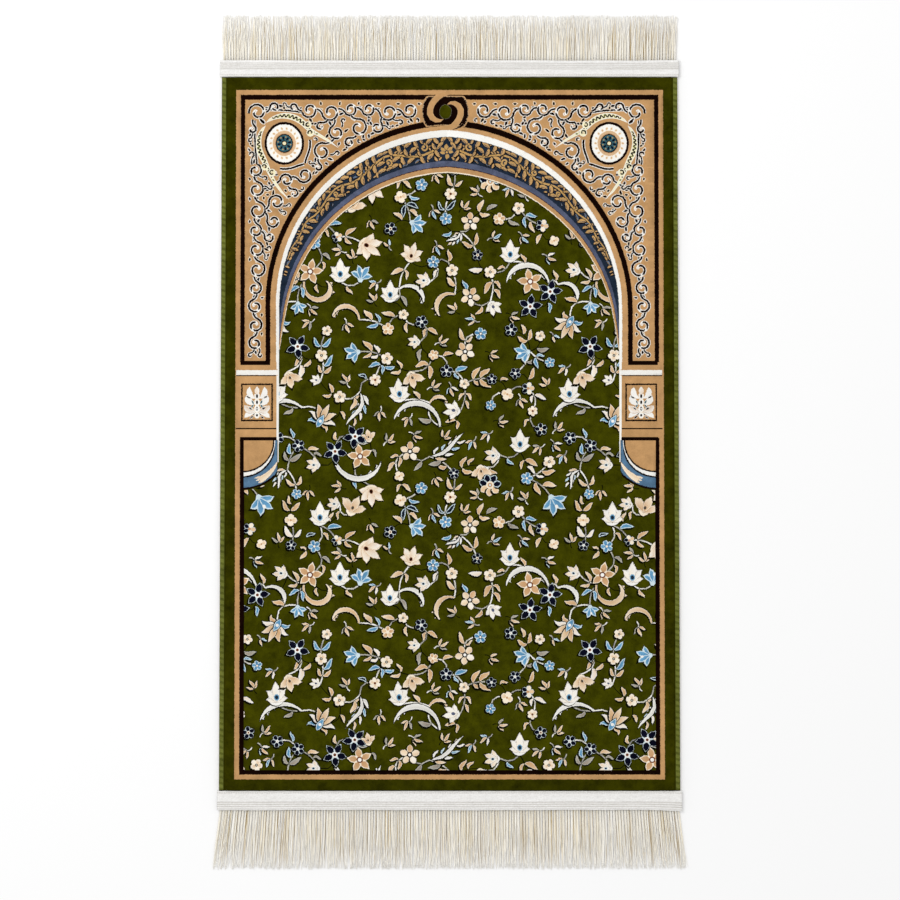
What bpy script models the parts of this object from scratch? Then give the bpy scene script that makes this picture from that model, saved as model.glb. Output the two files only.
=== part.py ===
"""Prayer rug lying flat.

One woven pile rug with overlocked long edges, a sewn tape across each end, and
a comb of fringe whose spine is caught under each tape.

Metres. X runs across the rug, Y along it with the arch of its design towards
+Y, and Z up. The origin is under the centre of the whole outline, on the
surface that the rug lies on.
"""
import math

import bmesh
import bpy

# ---------------------------------------------------------------- dimensions
RUG_WIDTH = 0.700          # across, over the overlocked edges
RUG_LENGTH = 1.090         # pile, end to end
PILE_TOP = 0.0065          # ground weave and pile together
HEM_WIDTH = 0.0080         # overlocked edge, seen from above
HEM_HEIGHT = 0.0056
HEM_GROOVE = 0.0046        # height of the dip between overlock and pile
PILE_SHOULDER = 0.0040     # rounding of the pile beside the dip
END_ROUNDING = 0.0030      # rounding of the pile at its two cut ends

GAP = 0.0003               # between touching pieces
FLAP_LENGTH = 0.0190       # bare ground weave under each tape
FLAP_THICK = 0.0017
STEP_RUN = 0.0006          # run of the steep step from flap to pile

TAPE_TOP_WIDTH = 0.0265    # along Y
TAPE_BOTTOM_WIDTH = 0.0297
TAPE_OVERHANG = 0.0025     # past the rug's long edge, each side
TAPE_THICK = 0.0032
TAPE_BEVEL = 0.0010

SPINE_THICK = FLAP_THICK   # fringe spine lies in the flap's plane
FRINGE_TOP_LENGTH = 0.0710
FRINGE_BOTTOM_LENGTH = 0.0900
TOOTH_COUNT = 100          # bundles of strands per end
TOOTH_ROOT_FILL = 0.80     # tooth width over pitch, at the spine
TOOTH_TIP_FILL = 0.62      # the same at the frayed tip
UNEVEN_LENGTH = 0.0045     # largest shortfall of a tooth
SPLAY_TOP = 0.0020         # sideways lean of the outermost tip
SPLAY_BOTTOM = 0.0110

# whole outline along Y, centred on the origin
TOTAL_LENGTH = (FRINGE_TOP_LENGTH + TAPE_TOP_WIDTH + RUG_LENGTH
                + TAPE_BOTTOM_WIDTH + FRINGE_BOTTOM_LENGTH)
PILE_Y1 = TOTAL_LENGTH / 2 - FRINGE_TOP_LENGTH - TAPE_TOP_WIDTH
PILE_Y0 = PILE_Y1 - RUG_LENGTH

# ---------------------------------------------------------------- materials
MATERIALS = {
    # name: (colour, roughness)
    "green_pile": ((0.036, 0.034, 0.004), 0.92),
    "white_tape": ((0.80, 0.79, 0.76), 0.85),
    "cotton_fringe": ((0.78, 0.75, 0.68), 0.88),
}


def clear_scene():
    for obj in list(bpy.data.objects):
        bpy.data.objects.remove(obj, do_unlink=True)


def make_material(name):
    colour, rough = MATERIALS[name]
    mat = bpy.data.materials.new(name)
    mat.use_nodes = True
    shader = mat.node_tree.nodes["Principled BSDF"]
    shader.inputs["Base Color"].default_value = (*colour, 1.0)
    shader.inputs["Roughness"].default_value = rough
    shader.inputs["Metallic"].default_value = 0.0
    return mat


def finish_object(name, bm, material):
    bmesh.ops.recalc_face_normals(bm, faces=bm.faces)
    bmesh.ops.triangulate(bm, faces=bm.faces)
    mesh = bpy.data.meshes.new(name)
    bm.to_mesh(mesh)
    bm.free()
    mesh.materials.append(material)
    obj = bpy.data.objects.new(name, mesh)
    bpy.context.scene.collection.objects.link(obj)
    return obj


def loft(sections):
    """Closed solid through rings of equal point count."""
    bm = bmesh.new()
    rings = [[bm.verts.new(p) for p in ring] for ring in sections]
    count = len(rings[0])
    for low, high in zip(rings, rings[1:]):
        for i in range(count):
            j = (i + 1) % count
            bm.faces.new((low[i], low[j], high[j], high[i]))
    bm.faces.new(rings[0])
    bm.faces.new(rings[-1])
    return bm


# ---------------------------------------------------------------- the rug
def rug_cross_section():
    """Half outline (x, z) from the underside's middle out and over the top."""
    half = RUG_WIDTH / 2
    radius = HEM_HEIGHT / 2
    points = [(half - radius, 0.0)]
    for step in range(1, 7):                      # rounded overlocked edge
        turn = math.pi * (step / 6 - 0.5)
        points.append((half - radius + radius * math.cos(turn),
                       radius + radius * math.sin(turn)))
    points.append((half - HEM_WIDTH + 0.0020, HEM_HEIGHT - 0.0002))
    points.append((half - HEM_WIDTH, HEM_GROOVE))
    points.append((half - HEM_WIDTH - 0.35 * PILE_SHOULDER, 0.95 * PILE_TOP))
    points.append((half - HEM_WIDTH - PILE_SHOULDER, PILE_TOP))
    return points


def build_rug(material):
    half = rug_cross_section()
    outline = half + [(-x, z) for x, z in reversed(half)]
    flap = FLAP_THICK / PILE_TOP
    stations = (
        # distance inward from the pile's end, height factor
        (-FLAP_LENGTH, flap),
        (0.0, flap),
        (STEP_RUN, 0.92),
        (END_ROUNDING, 1.0),
    )
    rows = [(PILE_Y0 + inward, factor) for inward, factor in stations]
    rows += [(PILE_Y1 - inward, factor) for inward, factor in reversed(stations)]
    bm = loft([[(x, y, z * factor) for x, z in outline] for y, factor in rows])
    return finish_object("rug_body", bm, material)


# ---------------------------------------------------------------- the tapes
def build_tape(name, y_pile, width, outward, material):
    """Flat woven tape over the flap and the fringe's spine."""
    half = RUG_WIDTH / 2 + TAPE_OVERHANG
    base = FLAP_THICK + GAP
    profile = (
        # distance out from the pile's end, height
        (GAP, base),
        (width, base),
        (width, base + TAPE_THICK - TAPE_BEVEL),
        (width - TAPE_BEVEL, base + TAPE_THICK),
        (GAP + TAPE_BEVEL, base + TAPE_THICK),
        (GAP, base + TAPE_THICK - TAPE_BEVEL),
    )
    bm = loft([[(x, y_pile + outward * run, z) for run, z in profile]
               for x in (-half, half)])
    return finish_object(name, bm, material)


# ---------------------------------------------------------------- the fringes
def tooth_length(index, full):
    """Uneven by a fixed rule; one tooth in seven reaches the full length."""
    if index % 7 == 3:
        return full
    wave = math.sin(2.4 * index) + 0.6 * math.sin(5.3 * index + 1.0)
    return full - UNEVEN_LENGTH * (0.5 + wave / 3.2)


def build_fringe(name, y_pile, tape_width, length, splay, outward, material):
    """One comb: a spine under the tape and a tapered tooth for each bundle."""
    pitch = RUG_WIDTH / TOOTH_COUNT
    inner = y_pile + outward * (FLAP_LENGTH + GAP)
    root = y_pile + outward * (tape_width - 0.0008)
    tape_edge = y_pile + outward * tape_width
    bm = bmesh.new()
    columns = []
    for i in range(TOOTH_COUNT):
        centre = (i + 0.5) * pitch - RUG_WIDTH / 2
        reach = tooth_length(i, length)
        lean = splay * (2 * centre / RUG_WIDTH) ** 3
        wide = pitch * TOOTH_ROOT_FILL / 2
        fine = pitch * TOOTH_TIP_FILL / 2
        tip_y = tape_edge + outward * reach
        columns.append({
            "in": [bm.verts.new((centre + s * wide, inner, 0)) for s in (-1, 1)],
            "root": [bm.verts.new((centre + s * wide, root, 0)) for s in (-1, 1)],
            "tip": [bm.verts.new((centre + lean + s * fine, tip_y, 0))
                    for s in (-1, 1)],
        })
    for here in columns:
        bm.faces.new((here["in"][0], here["in"][1], here["root"][1], here["root"][0]))
        bm.faces.new((here["root"][0], here["root"][1], here["tip"][1], here["tip"][0]))
    for here, after in zip(columns, columns[1:]):
        bm.faces.new((here["in"][1], after["in"][0], after["root"][0], here["root"][1]))
    made = bmesh.ops.extrude_face_region(bm, geom=bm.faces[:])
    raised = [g for g in made["geom"] if isinstance(g, bmesh.types.BMVert)]
    bmesh.ops.translate(bm, verts=raised, vec=(0, 0, SPINE_THICK))
    return finish_object(name, bm, material)


def main():
    clear_scene()
    pile = make_material("green_pile")
    tape = make_material("white_tape")
    cotton = make_material("cotton_fringe")
    build_rug(pile)
    build_tape("heading_top", PILE_Y1, TAPE_TOP_WIDTH, 1, tape)
    build_tape("heading_bottom", PILE_Y0, TAPE_BOTTOM_WIDTH, -1, tape)
    build_fringe("fringe_top", PILE_Y1, TAPE_TOP_WIDTH, FRINGE_TOP_LENGTH,
                 SPLAY_TOP, 1, cotton)
    build_fringe("fringe_bottom", PILE_Y0, TAPE_BOTTOM_WIDTH,
                 FRINGE_BOTTOM_LENGTH, SPLAY_BOTTOM, -1, cotton)


main()
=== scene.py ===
"""Looks of the prayer rug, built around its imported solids. Metres, +Z up.

The pile is one closed mesh. Its woven design is drawn by the functions below on
a flat chart, shape over shape, and each part of the surface takes the colour of
the topmost shape there. The stripes, the arch, the columns, the roundel and the
knot keep measured sizes. The chief flowers of the field's repeat stand where the
eye puts them, to the nearest 5 or 10 units. The other flowers, the leaves, the
stems, the curls and the arabesque are laid out by rule, and every motif is drawn
by its own function.
"""

import math
import random

import bmesh
import bpy
import numpy as np
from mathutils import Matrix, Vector
from mathutils.geometry import delaunay_2d_cdt


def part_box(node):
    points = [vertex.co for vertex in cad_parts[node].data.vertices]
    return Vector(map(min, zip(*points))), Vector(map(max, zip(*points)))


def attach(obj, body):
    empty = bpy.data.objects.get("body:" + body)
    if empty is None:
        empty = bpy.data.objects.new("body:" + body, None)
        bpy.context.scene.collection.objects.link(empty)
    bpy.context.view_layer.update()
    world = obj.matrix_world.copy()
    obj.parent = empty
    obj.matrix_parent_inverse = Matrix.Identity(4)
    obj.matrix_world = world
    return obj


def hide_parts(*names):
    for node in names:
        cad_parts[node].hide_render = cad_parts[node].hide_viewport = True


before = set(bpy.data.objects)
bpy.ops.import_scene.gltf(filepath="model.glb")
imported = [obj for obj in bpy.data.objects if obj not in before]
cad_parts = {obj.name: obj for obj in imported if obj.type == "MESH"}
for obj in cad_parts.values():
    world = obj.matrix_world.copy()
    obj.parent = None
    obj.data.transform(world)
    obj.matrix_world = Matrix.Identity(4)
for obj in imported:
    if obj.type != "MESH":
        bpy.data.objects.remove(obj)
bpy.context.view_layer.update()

# ------------------------------------------------------------------ sizes, m
RUG_LO, RUG_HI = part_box("rug_body")
HALF = 0.350
FLAP = 0.0190
END_LO, END_HI = RUG_LO[1], RUG_HI[1]          # ends of the bare weave
PILE_LO, PILE_HI = END_LO + FLAP, END_HI - FLAP
PILE_TOP = 0.0065
HEM_WIDTH, HEM_HIGH, HEM_DIP = 0.0080, 0.0056, 0.0046
SHOULDER = 0.0040
FLAP_THICK = 0.0017

# ------------------------------------------------------------- design colours
SRGB = {
    "ground": (59, 60, 2), "border": (50, 50, 1), "shade": (14, 15, 3),
    "tan": (190, 147, 99), "ink": (19, 6, 3), "maroon": (60, 20, 12),
    "white": (240, 238, 232), "cream": (243, 229, 206), "peach": (226, 194, 155),
    "sand": (196, 152, 108), "blue": (74, 127, 168), "sky": (108, 160, 194),
    "ice": (205, 222, 228), "navy": (11, 13, 30), "grey": (140, 140, 138),
    "slate": (86, 93, 116), "steel": (84, 116, 144), "gold": (190, 150, 90),
    "deep": (32, 43, 58), "lemon": (238, 232, 192), "teal": (58, 98, 108),
    "brown": (112, 62, 36), "stem": (184, 182, 170), "olive": (110, 112, 58), "hem_thread_highlight": (107, 112, 50),
    # the hem's green strip, lighter by a painted highlight along the rounded edge
    "seam": (87, 92, 36),
    "dull": (160, 138, 112), "rose": (212, 176, 136), "dusk": (82, 72, 60),
}
LEAF_TINTS = {
    # tint: rim, one half, other half, tip, rim width
    "b": ("ice", "blue", "sky", "sky", 0.72), "t": ("cream", "tan", "rose", "peach", 0.45),
    "c": ("cream", "tan", "peach", "cream", 0.42),
    "w": ("white", "peach", "white", "white", 0.5),
    "W": ("white", "stem", "white", "white", 0.7),
    "g": ("stem", "grey", "dull", "stem", 0.55), "n": ("ice", "navy", "deep", "navy", 0.7),
}
STEM_TINTS = {"w": ("white", "stem"), "c": ("cream", "peach"), "g": ("stem", "grey"),
              "t": ("peach", "sand"), "b": ("ice", "sky")}
DARK_SIDE = (-0.62, 0.78)           # where a figure's dark edge is widest, v down


def linear(rgb):
    """sRGB 0-255 to linear 0-1."""
    out = []
    for c in rgb:
        c = c / 255.0
        out.append(c / 12.92 if c <= 0.04045 else ((c + 0.055) / 1.055) ** 2.4)
    return tuple(out)


YARN = {name: linear(rgb) for name, rgb in SRGB.items()}


def between(a, b, t):
    return tuple(p + (q - p) * t for p, q in zip(a, b))


def shaded(one, other=None, tip=None):
    """Colour rule of a figure: one half, the other half, and its tip."""
    a, b = YARN[one], YARN[other or one]
    c = YARN[tip] if tip else None

    def rule(t, side):
        made = between(a, b, (side + 1) / 2)
        return made if c is None else between(made, c, t * t)
    return rule


class Chart:
    """Painted shapes in order; the last one painted lies on top.

    A shape is a small flat mesh. Each of its points has a depth inside the
    figure's outline and a yarn colour. Below zero depth the edge colour shows,
    then the rim's up to the rim's width, and past that the yarn's.
    """

    def __init__(self):
        self.shapes = []

    def add(self, points, faces, rim, rim_width, edge, level):
        if faces:
            self.shapes.append((points, faces, YARN[rim], rim_width, YARN[edge], level))

    def copy_to(self, other, place, inside=None):
        """Adds every shape again to another chart, moved by place(u, v)."""
        for points, *rest in self.shapes:
            moved = [(*place(p[0], p[1]), p[2], p[3]) for p in points]
            if inside is None or any(inside(p[0], p[1]) for p in moved):
                other.shapes.append((moved, *rest))


# ------------------------------------------------------------ drawing helpers
def turned(x, y, angle, length):
    a = math.radians(angle)
    return x + length * math.cos(a), y - length * math.sin(a)


def arc_path(x, y, radius, start, sweep, end_radius=None, step=3.0):
    """Circle arc, or a spiral where the radius changes."""
    last = radius if end_radius is None else end_radius
    span = math.radians(abs(sweep)) * (radius + last) / 2
    cuts = max(4, round(span / step), round(abs(sweep) / 32))
    return [turned(x, y, start + sweep * i / cuts,
                   radius + (last - radius) * i / cuts) for i in range(cuts + 1)]


def swept(x0, y0, x1, y1, bend, count, curl=0.0, places=None):
    """Path that bows to its left by bend, and by curl in an S."""
    size = math.hypot(x1 - x0, y1 - y0) or 1.0
    nx, ny = (y1 - y0) / size, -(x1 - x0) / size
    path = []
    for t in places or [i / (count - 1) for i in range(count)]:
        off = bend * math.sin(math.pi * t) + curl * math.sin(2 * math.pi * t)
        path.append((x0 + (x1 - x0) * t + nx * off, y0 + (y1 - y0) * t + ny * off))
    return path


def band(ch, path, half, fill, rim=None, rim_width=0.0, edge="shade",
         margin=(0.5, 1.55), level=1, core=None, places=None, swell=None):
    """Figure along a path. half gives its half width; its ends close in a point
    where that is nothing. core gives the depth on the path, if not half."""
    last = len(path) - 1
    rule = shaded(fill) if isinstance(fill, str) else fill
    points, rows = [], []
    for i, (x, y) in enumerate(path):
        (ax, ay), (bx, by) = path[max(0, i - 1)], path[min(last, i + 1)]
        size = math.hypot(bx - ax, by - ay) or 1.0
        tx, ty = (bx - ax) / size, (by - ay) / size
        t = places[i] if places else i / last
        w = half(t) if callable(half) else half
        grow = swell(t) if swell else 1.0
        inset = min(0.28, 0.2 * w) if edge == "shade" and w > 0.9 else 0.0
        first = len(points)
        if w < 0.06 and i in (0, last):
            m = margin[0] * grow
            far = -m if i == 0 else m
            points.append((x + tx * far, y + ty * far, -m, rule(t, 0)))
            rows.append((first,))
            continue
        for s in (-1, 0, 1):
            if s == 0:
                points.append((x, y, core(t) if core else w - inset, rule(t, 0)))
                continue
            nx, ny = -ty * s, tx * s
            m = (margin[0] + margin[1] * max(0.0, nx * DARK_SIDE[0]
                                             + ny * DARK_SIDE[1])) * grow
            points.append((x + nx * (w + m), y + ny * (w + m), -m - inset, rule(t, s)))
        rows.append((first, first + 1, first + 2))
    faces = []
    for a, b in zip(rows, rows[1:]):
        if len(a) == 1 and len(b) == 3:
            faces += [(a[0], b[0], b[1]), (a[0], b[1], b[2])]
        elif len(a) == 3 and len(b) == 1:
            faces += [(a[0], b[0], a[1]), (a[1], b[0], a[2])]
        elif len(a) == 3:
            for k in (0, 1):
                faces += [(a[k], a[k + 1], b[k + 1]), (a[k], b[k + 1], b[k])]
    ch.add(points, faces, rim or "cream", rim_width if rim else 0.0, edge, level)


def fan(ch, x, y, ring, depth, fill, rim=None, rim_width=0.0, edge="shade",
        margin=(0.5, 1.55), level=1, heart=None):
    """Figure around a centre, its outline given by a ring."""
    rule = shaded(fill) if isinstance(fill, str) else fill
    inset = 0.25 if edge == "shade" else 0.0
    points = [(x, y, depth, YARN[heart] if heart else rule(0, 0))]
    for px, py in ring:
        size = math.hypot(px - x, py - y) or 1.0
        nx, ny = (px - x) / size, (py - y) / size
        m = margin[0] + margin[1] * max(0.0, nx * DARK_SIDE[0] + ny * DARK_SIDE[1])
        points.append((px + nx * m, py + ny * m, -m - inset, rule(1, nx)))
    last = len(ring)
    faces = [(0, i, i % last + 1) for i in range(1, last + 1)]
    ch.add(points, faces, rim or "cream", rim_width if rim else 0.0, edge, level)


def rails(ch, one, other, colour, level=1, depths=(9.0, 9.0), edge="shade"):
    """Flat strip between two paths of equal count. With depths of opposite sign
    it is a seam between the edge colour and its own."""
    yarn = YARN[colour]
    points = ([(x, y, depths[0], yarn) for x, y in one]
              + [(x, y, depths[1], yarn) for x, y in other])
    n = len(one)
    faces = []
    for i in range(n - 1):
        faces += [(i, i + 1, n + i + 1), (i, n + i + 1, n + i)]
    ch.add(points, faces, colour, 0.0, edge, level)


def disc(ch, x, y, rx, colour, ry=None, count=9, turn=0.0, level=1, edge=None,
         margin=(0.3, 0.0), heart=None):
    ry = rx if ry is None else ry
    ca, sa = math.cos(math.radians(turn)), math.sin(math.radians(turn))
    ring = []
    for i in range(count):
        a = 2 * math.pi * (i + 0.5) / count
        p, q = rx * math.cos(a), ry * math.sin(a)
        ring.append((x + p * ca + q * sa, y - p * sa + q * ca))
    if edge is None:
        fan(ch, x, y, ring, 9.0, colour, margin=(0.0, 0.0), level=level, heart=heart)
        points, faces, *rest = ch.shapes[-1]
        ch.shapes[-1] = ([(p[0], p[1], 9.0, p[3]) for p in points], faces, *rest)
    else:
        fan(ch, x, y, ring, min(rx, ry), colour, edge=edge, margin=margin, level=level,
            heart=heart)


def leaf_half(width, peak=0.42, blunt=0.85):
    power = math.log(0.5) / math.log(peak)
    return lambda t: width * max(0.0, math.sin(math.pi * t ** power)) ** blunt


def leaf(ch, x0, y0, x1, y1, width, bend=0.0, tint="c", curl=0.0, edge="shade"):
    rim, one, other, tip, rim_width = LEAF_TINTS[tint]
    size = math.hypot(x1 - x0, y1 - y0) + abs(bend)
    places = ((0, 0.26, 0.62, 1) if size < 6 else
              (0, 0.18, 0.42, 0.70, 1) if size < 10 else
              (0, 0.14, 0.34, 0.56, 0.79, 1) if size < 16 else
              (0, 0.11, 0.27, 0.45, 0.64, 0.83, 1))
    band(ch, swept(x0, y0, x1, y1, bend, 0, curl, places), leaf_half(width),
         shaded(one, other, tip), rim, rim_width, edge, places=places)


def sprig(ch, x, y, turn, size, tints="btw", spread=48):
    """Leaves that spring from one point."""
    for i, tint in enumerate(tints):
        off = (i - (len(tints) - 1) / 2) * spread
        reach = size * (1.0 if abs(off) < 10 else 0.86)
        side = 1 if off > 0 else -1
        leaf(ch, x, y, *turned(x, y, turn + off, reach), reach * 0.17,
             side * reach * 0.07, tint, side * reach * 0.05)


def stem(ch, tint, width, path):
    if tint == "k":
        half = [(width * (1.1 - 0.5 * i / (len(path) - 1))) for i in range(len(path))]
        one, other = [], []
        for i, (x, y) in enumerate(path):
            (ax, ay), (bx, by) = path[max(0, i - 1)], path[min(len(path) - 1, i + 1)]
            size = math.hypot(bx - ax, by - ay) or 1.0
            nx, ny = -(by - ay) / size * half[i], (bx - ax) / size * half[i]
            one.append((x + nx, y + ny)), other.append((x - nx, y - ny))
        rails(ch, one, other, "shade", 0)
        return
    pale, dim = STEM_TINTS[tint]
    a, b = YARN[pale], YARN[dim]
    last = len(path) - 1
    band(ch, path, width, lambda t, s: b if round(t * last) % 4 == 2 else a,
         margin=(0.42, 1.0))


def plume(ch, tint, width, path, lobes=()):
    """Acanthus stroke that swells and ends in a point. lobes: (t, side, reach)."""
    rim, one, other, tip, rim_width = LEAF_TINTS[tint]
    for t, side, reach in lobes:
        i = max(1, min(len(path) - 2, round(t * (len(path) - 1))))
        (x, y), (bx, by) = path[i], path[i + 1]
        head = math.degrees(math.atan2(y - by, bx - x)) + side * 42
        leaf(ch, x, y, *turned(x, y, head, reach), width * 0.66, -side * 1.3, tint,
             side * 0.5)
    band(ch, path, lambda t: width * (0.34 + 0.66 * math.sin(math.pi * t ** 1.2 * 0.97))
         * (1 - t ** 6) if t < 1 else 0, shaded(one, other, tip), rim, rim_width,
         margin=(0.45, 1.15))


# ------------------------------------------------------------------- blossoms
BLOSSOMS = {
    # kind: petals, pointed, rim, petal colours, tip colour, centre discs
    "navy": (5, 0, "ice", ("navy",), None, ((0.25, "white"), (0.10, "stem"))),
    "navyp": (5, 0, "ice", ("navy",), None, ((0.28, "cream"), (0.14, "brown"))),
    "blue": (5, 0, "ice", ("blue", "sky"), "sky", ((0.34, "blue"), (0.20, "cream"))),
    "blue2": (5, 0, "ice", ("sky", "blue"), "blue", ((0.30, "navy"), (0.18, "white"))),
    "cream": (5, 0, "cream", ("peach", "cream"), "white",
              ((0.25, "dusk"), (0.13, "stem"))),
    "rose": (6, 0, "cream", ("cream", "peach"), "white", ((0.22, "brown"),)),
    "peach": (5, 0, "cream", ("sand", "peach"), "peach", ((0.27, "cream"),)),
    "four": (4, 0, "cream", ("cream", "peach"), "cream", ((0.18, "sand"),)),
    "half": (5, 0, "ice", ("cream", "navy", "navy", "cream", "peach"), None,
             ((0.24, "sand"),)),
    "star": (5, 1, "ice", ("navy",), None, ((0.26, "white"), (0.13, "brown"))),
    "tan": (5, 1, "cream", ("sand",), "rose", ((0.27, "brown"), (0.16, "white"))),
}


def blossom(ch, kind, x, y, radius, turn=90.0):
    petals, pointed, rim, fills, tip, centre = BLOSSOMS[kind]
    span = 360.0 / petals
    wave = (((-0.5, 0.46), (-0.29, 0.74), (0.0, 1.10), (0.29, 0.74)) if pointed else
            ((-0.5, 0.68), (-0.30, 0.96), (0.0, 1.04), (0.30, 0.96)))
    ring = [turned(x, y, turn + span * (i + part), radius * reach)
            for i in range(petals) for part, reach in wave]
    fan(ch, x, y, ring, radius * 0.8, rim, margin=(0.45, 1.5))
    places = (0, 0.34, 0.68, 1) if pointed else (0, 0.30, 0.64, 0.88, 1)
    wide = radius * (0.245 if pointed else 0.27 * 5 / petals)
    dark = "navy" in fills
    wide += 0.42 if dark else 0.0
    half = leaf_half(wide, 0.46, 0.8) if pointed else leaf_half(wide, 0.56, 0.55)
    for i in range(petals):
        a = turn + span * i
        band(ch, swept(*turned(x, y, a, radius * 0.14),
                       *turned(x, y, a, radius * (0.99 if dark else 0.93)), 0, 0,
                       places=places), half, shaded(fills[i % len(fills)], None, tip),
             edge=rim, margin=(0.12, 0.0), places=places)
    for size, colour in centre:
        disc(ch, x, y, size * radius, colour, count=7)


def pansy(ch, x, y, radius, turn=90.0):
    """Five separate round petals with dark between them."""
    for i, (one, other) in enumerate((("sand", "peach"), ("cream", "peach"),
                                      ("peach", "cream"), ("white", "cream"),
                                      ("cream", "rose"))):
        a = turn + 72 * i
        places = (0, 0.26, 0.6, 0.88, 1)
        band(ch, swept(*turned(x, y, a, radius * 0.16), *turned(x, y, a, radius * 1.04),
                       0, 0, places=places), leaf_half(radius * 0.36, 0.55, 0.5),
             shaded(one, other), "cream", 0.5, places=places, margin=(0.45, 1.0))
    disc(ch, x, y, radius * 0.30, "ink", count=8, level=0)
    disc(ch, x, y, radius * 0.17, "white", count=6)


SIDE_FLOWERS = {
    # kind: flank (along, half width), tips (angle, reach, bow), valley, rim,
    #       one half, other half, tip, line between petals, rim width,
    #       heart colours, heart place and size
    "lotus": (((0.0, 0.05), (0.04, 0.20), (0.14, 0.31)),
              ((-76, 0.50, -1), (-37, 0.66, -1), (0, 0.88, 0), (37, 0.66, 1),
               (76, 0.50, 1)), 0.74, "white", "cream", "white", "white", "dull", 0.35,
              ("sky", "deep"), 0.34, 0.125),
    "lotusc": (((0.0, 0.05), (0.05, 0.20), (0.16, 0.31)),
               ((-88, 0.56, -2), (-46, 0.72, -1), (-6, 0.84, 0), (32, 0.78, 1),
                (70, 0.60, 2)), 0.60, "cream", "rose", "cream", "white", "sand", 0.5,
               ("brown", "ink"), 0.30, 0.09),
    "tulip": (((0.0, 0.05), (0.10, 0.19), (0.26, 0.28)),
              ((-52, 0.72, -2), (-8, 0.80, 0), (44, 0.80, 2)), 0.52, "cream", "sand",
              "peach", "cream", "brown", 0.6, ("dusk",), 0.36, 0.07),
    "tulipw": (((0.0, 0.05), (0.10, 0.20), (0.26, 0.28)),
               ((-64, 0.58, -1), (-22, 0.76, 0), (18, 0.78, 0), (60, 0.60, 1)), 0.58,
               "white", "cream", "white", "white", "dull", 0.4, ("slate",), 0.36, 0.09),
    "bell": (((0.0, 0.06), (0.20, 0.17), (0.40, 0.24)),
             ((-64, 0.60, -2), (-22, 0.74, -1), (18, 0.70, 1), (60, 0.62, 2)), 0.60,
             "ice", "blue", "sky", "sky", "ice", 0.6, ("white",), 0.56, 0.07),
    "bird": (((0.0, 0.05), (0.12, 0.20), (0.28, 0.27)),
             ((-66, 0.56, -1), (-24, 0.74, 0), (14, 0.74, 0), (54, 0.58, 1)), 0.58,
             "white", "cream", "white", "peach", "dull", 0.45, ("ice", "deep"), 0.40,
             0.10),
}


def side_flower(ch, kind, x, y, size, turn):
    """Flower seen from the side, its stalk at (x, y), opening towards turn."""
    (flank, tips, low, rim, one, other, tip, line, edge, heart, place,
     spot) = SIDE_FLOWERS[kind]
    hx, hy = turned(x, y, turn, size * 0.20)
    ring = []
    for along, out in flank:
        ring.append(turned(*turned(x, y, turn, along * size), turn - 90, out * size))
    for i, (angle, reach, bow) in enumerate(tips):
        lean = 6 * bow
        ring.append(turned(hx, hy, turn + angle - 10, size * reach * 0.80))
        ring.append(turned(hx, hy, turn + angle + lean, size * reach * 1.03))
        ring.append(turned(hx, hy, turn + angle + 10, size * reach * 0.80))
        if i < len(tips) - 1:
            after, far = tips[i + 1][:2]
            ring.append(turned(hx, hy, turn + (angle + after) / 2,
                               size * (reach + far) / 2 * low))
    for along, out in reversed(flank):
        ring.append(turned(*turned(x, y, turn, along * size), turn + 90, out * size))
    fan(ch, hx, hy, ring, size * 0.5, rim, margin=(0.5, 1.6))
    # the outer petals lie under the middle ones
    order = sorted(range(len(tips)), key=lambda i: -abs(i - (len(tips) - 1) / 2))
    places = (0, 0.22, 0.48, 0.76, 1)
    for i in order:
        angle, reach, bow = tips[i]
        gap = 42 if len(tips) < 4 else 34
        wide = size * reach * math.tan(math.radians(gap / 2)) * 0.64
        base = turned(hx, hy, turn + 180, size * 0.10)
        end = turned(hx, hy, turn + angle + 5 * bow, size * reach * 0.93)
        band(ch, swept(*base, *end, -bow * size * 0.035, 0, places=places),
             leaf_half(wide, 0.58, 0.75), shaded(one, other, tip), rim, edge, line,
             (0.20, 0.12), places=places)
    sx, sy = turned(x, y, turn, size * place)
    for i, colour in enumerate(heart):
        disc(ch, sx, sy, size * spot * (1 - 0.36 * i) * 1.25, colour,
             size * spot * (1 - 0.36 * i), 8, turn, level=0)


def acanthus(ch, x0, y0, x1, y1, width, bend, tint="W", teeth=4):
    """Flowing leaf: long curved lobes, the longer ones on the outer side."""
    path = swept(x0, y0, x1, y1, bend, teeth * 2 + 3)
    outer = 1 if bend > 0 else -1
    for k in range(teeth):
        (x, y), (bx, by) = path[1 + 2 * k], path[2 + 2 * k]
        head = math.degrees(math.atan2(y - by, bx - x))
        for side in (-outer, outer):
            reach = width * 2.7 * (1 - 0.42 * k / teeth) * (1.0 if side == outer else 0.7)
            leaf(ch, x, y, *turned(x, y, head + side * 40, reach), reach * 0.15,
                 side * reach * 0.16, ("c", "W", "b", "w")[(k + (side > 0)) % 4],
                 side * reach * 0.05)
    leaf(ch, x0, y0, x1, y1, width * 0.42, bend, tint, bend * 0.4)


def palmette(ch, x, y, size, turn):
    """Fan of mixed leaves round a blue heart."""
    for angle, reach, width, bend, tint in (
            (-122, 0.66, 0.12, 2.4, "t"), (122, 0.70, 0.12, -2.4, "b"),
            (-76, 0.86, 0.14, 1.8, "w"), (78, 0.82, 0.13, -1.8, "w"),
            (-36, 0.96, 0.17, 1.0, "c"), (38, 0.94, 0.17, -1.0, "t"),
            (2, 1.04, 0.17, 0.0, "c")):
        leaf(ch, *turned(x, y, turn + angle, size * 0.08),
             *turned(x, y, turn + angle, size * reach), size * width,
             bend * size / 20, tint, -bend * size / 60)
    leaf(ch, *turned(x, y, turn + 180, size * 0.34),
         *turned(x, y, turn, size * 0.42), size * 0.18, 0, "b")
    disc(ch, *turned(x, y, turn, size * 0.02), size * 0.09, "white", count=7)


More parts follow.
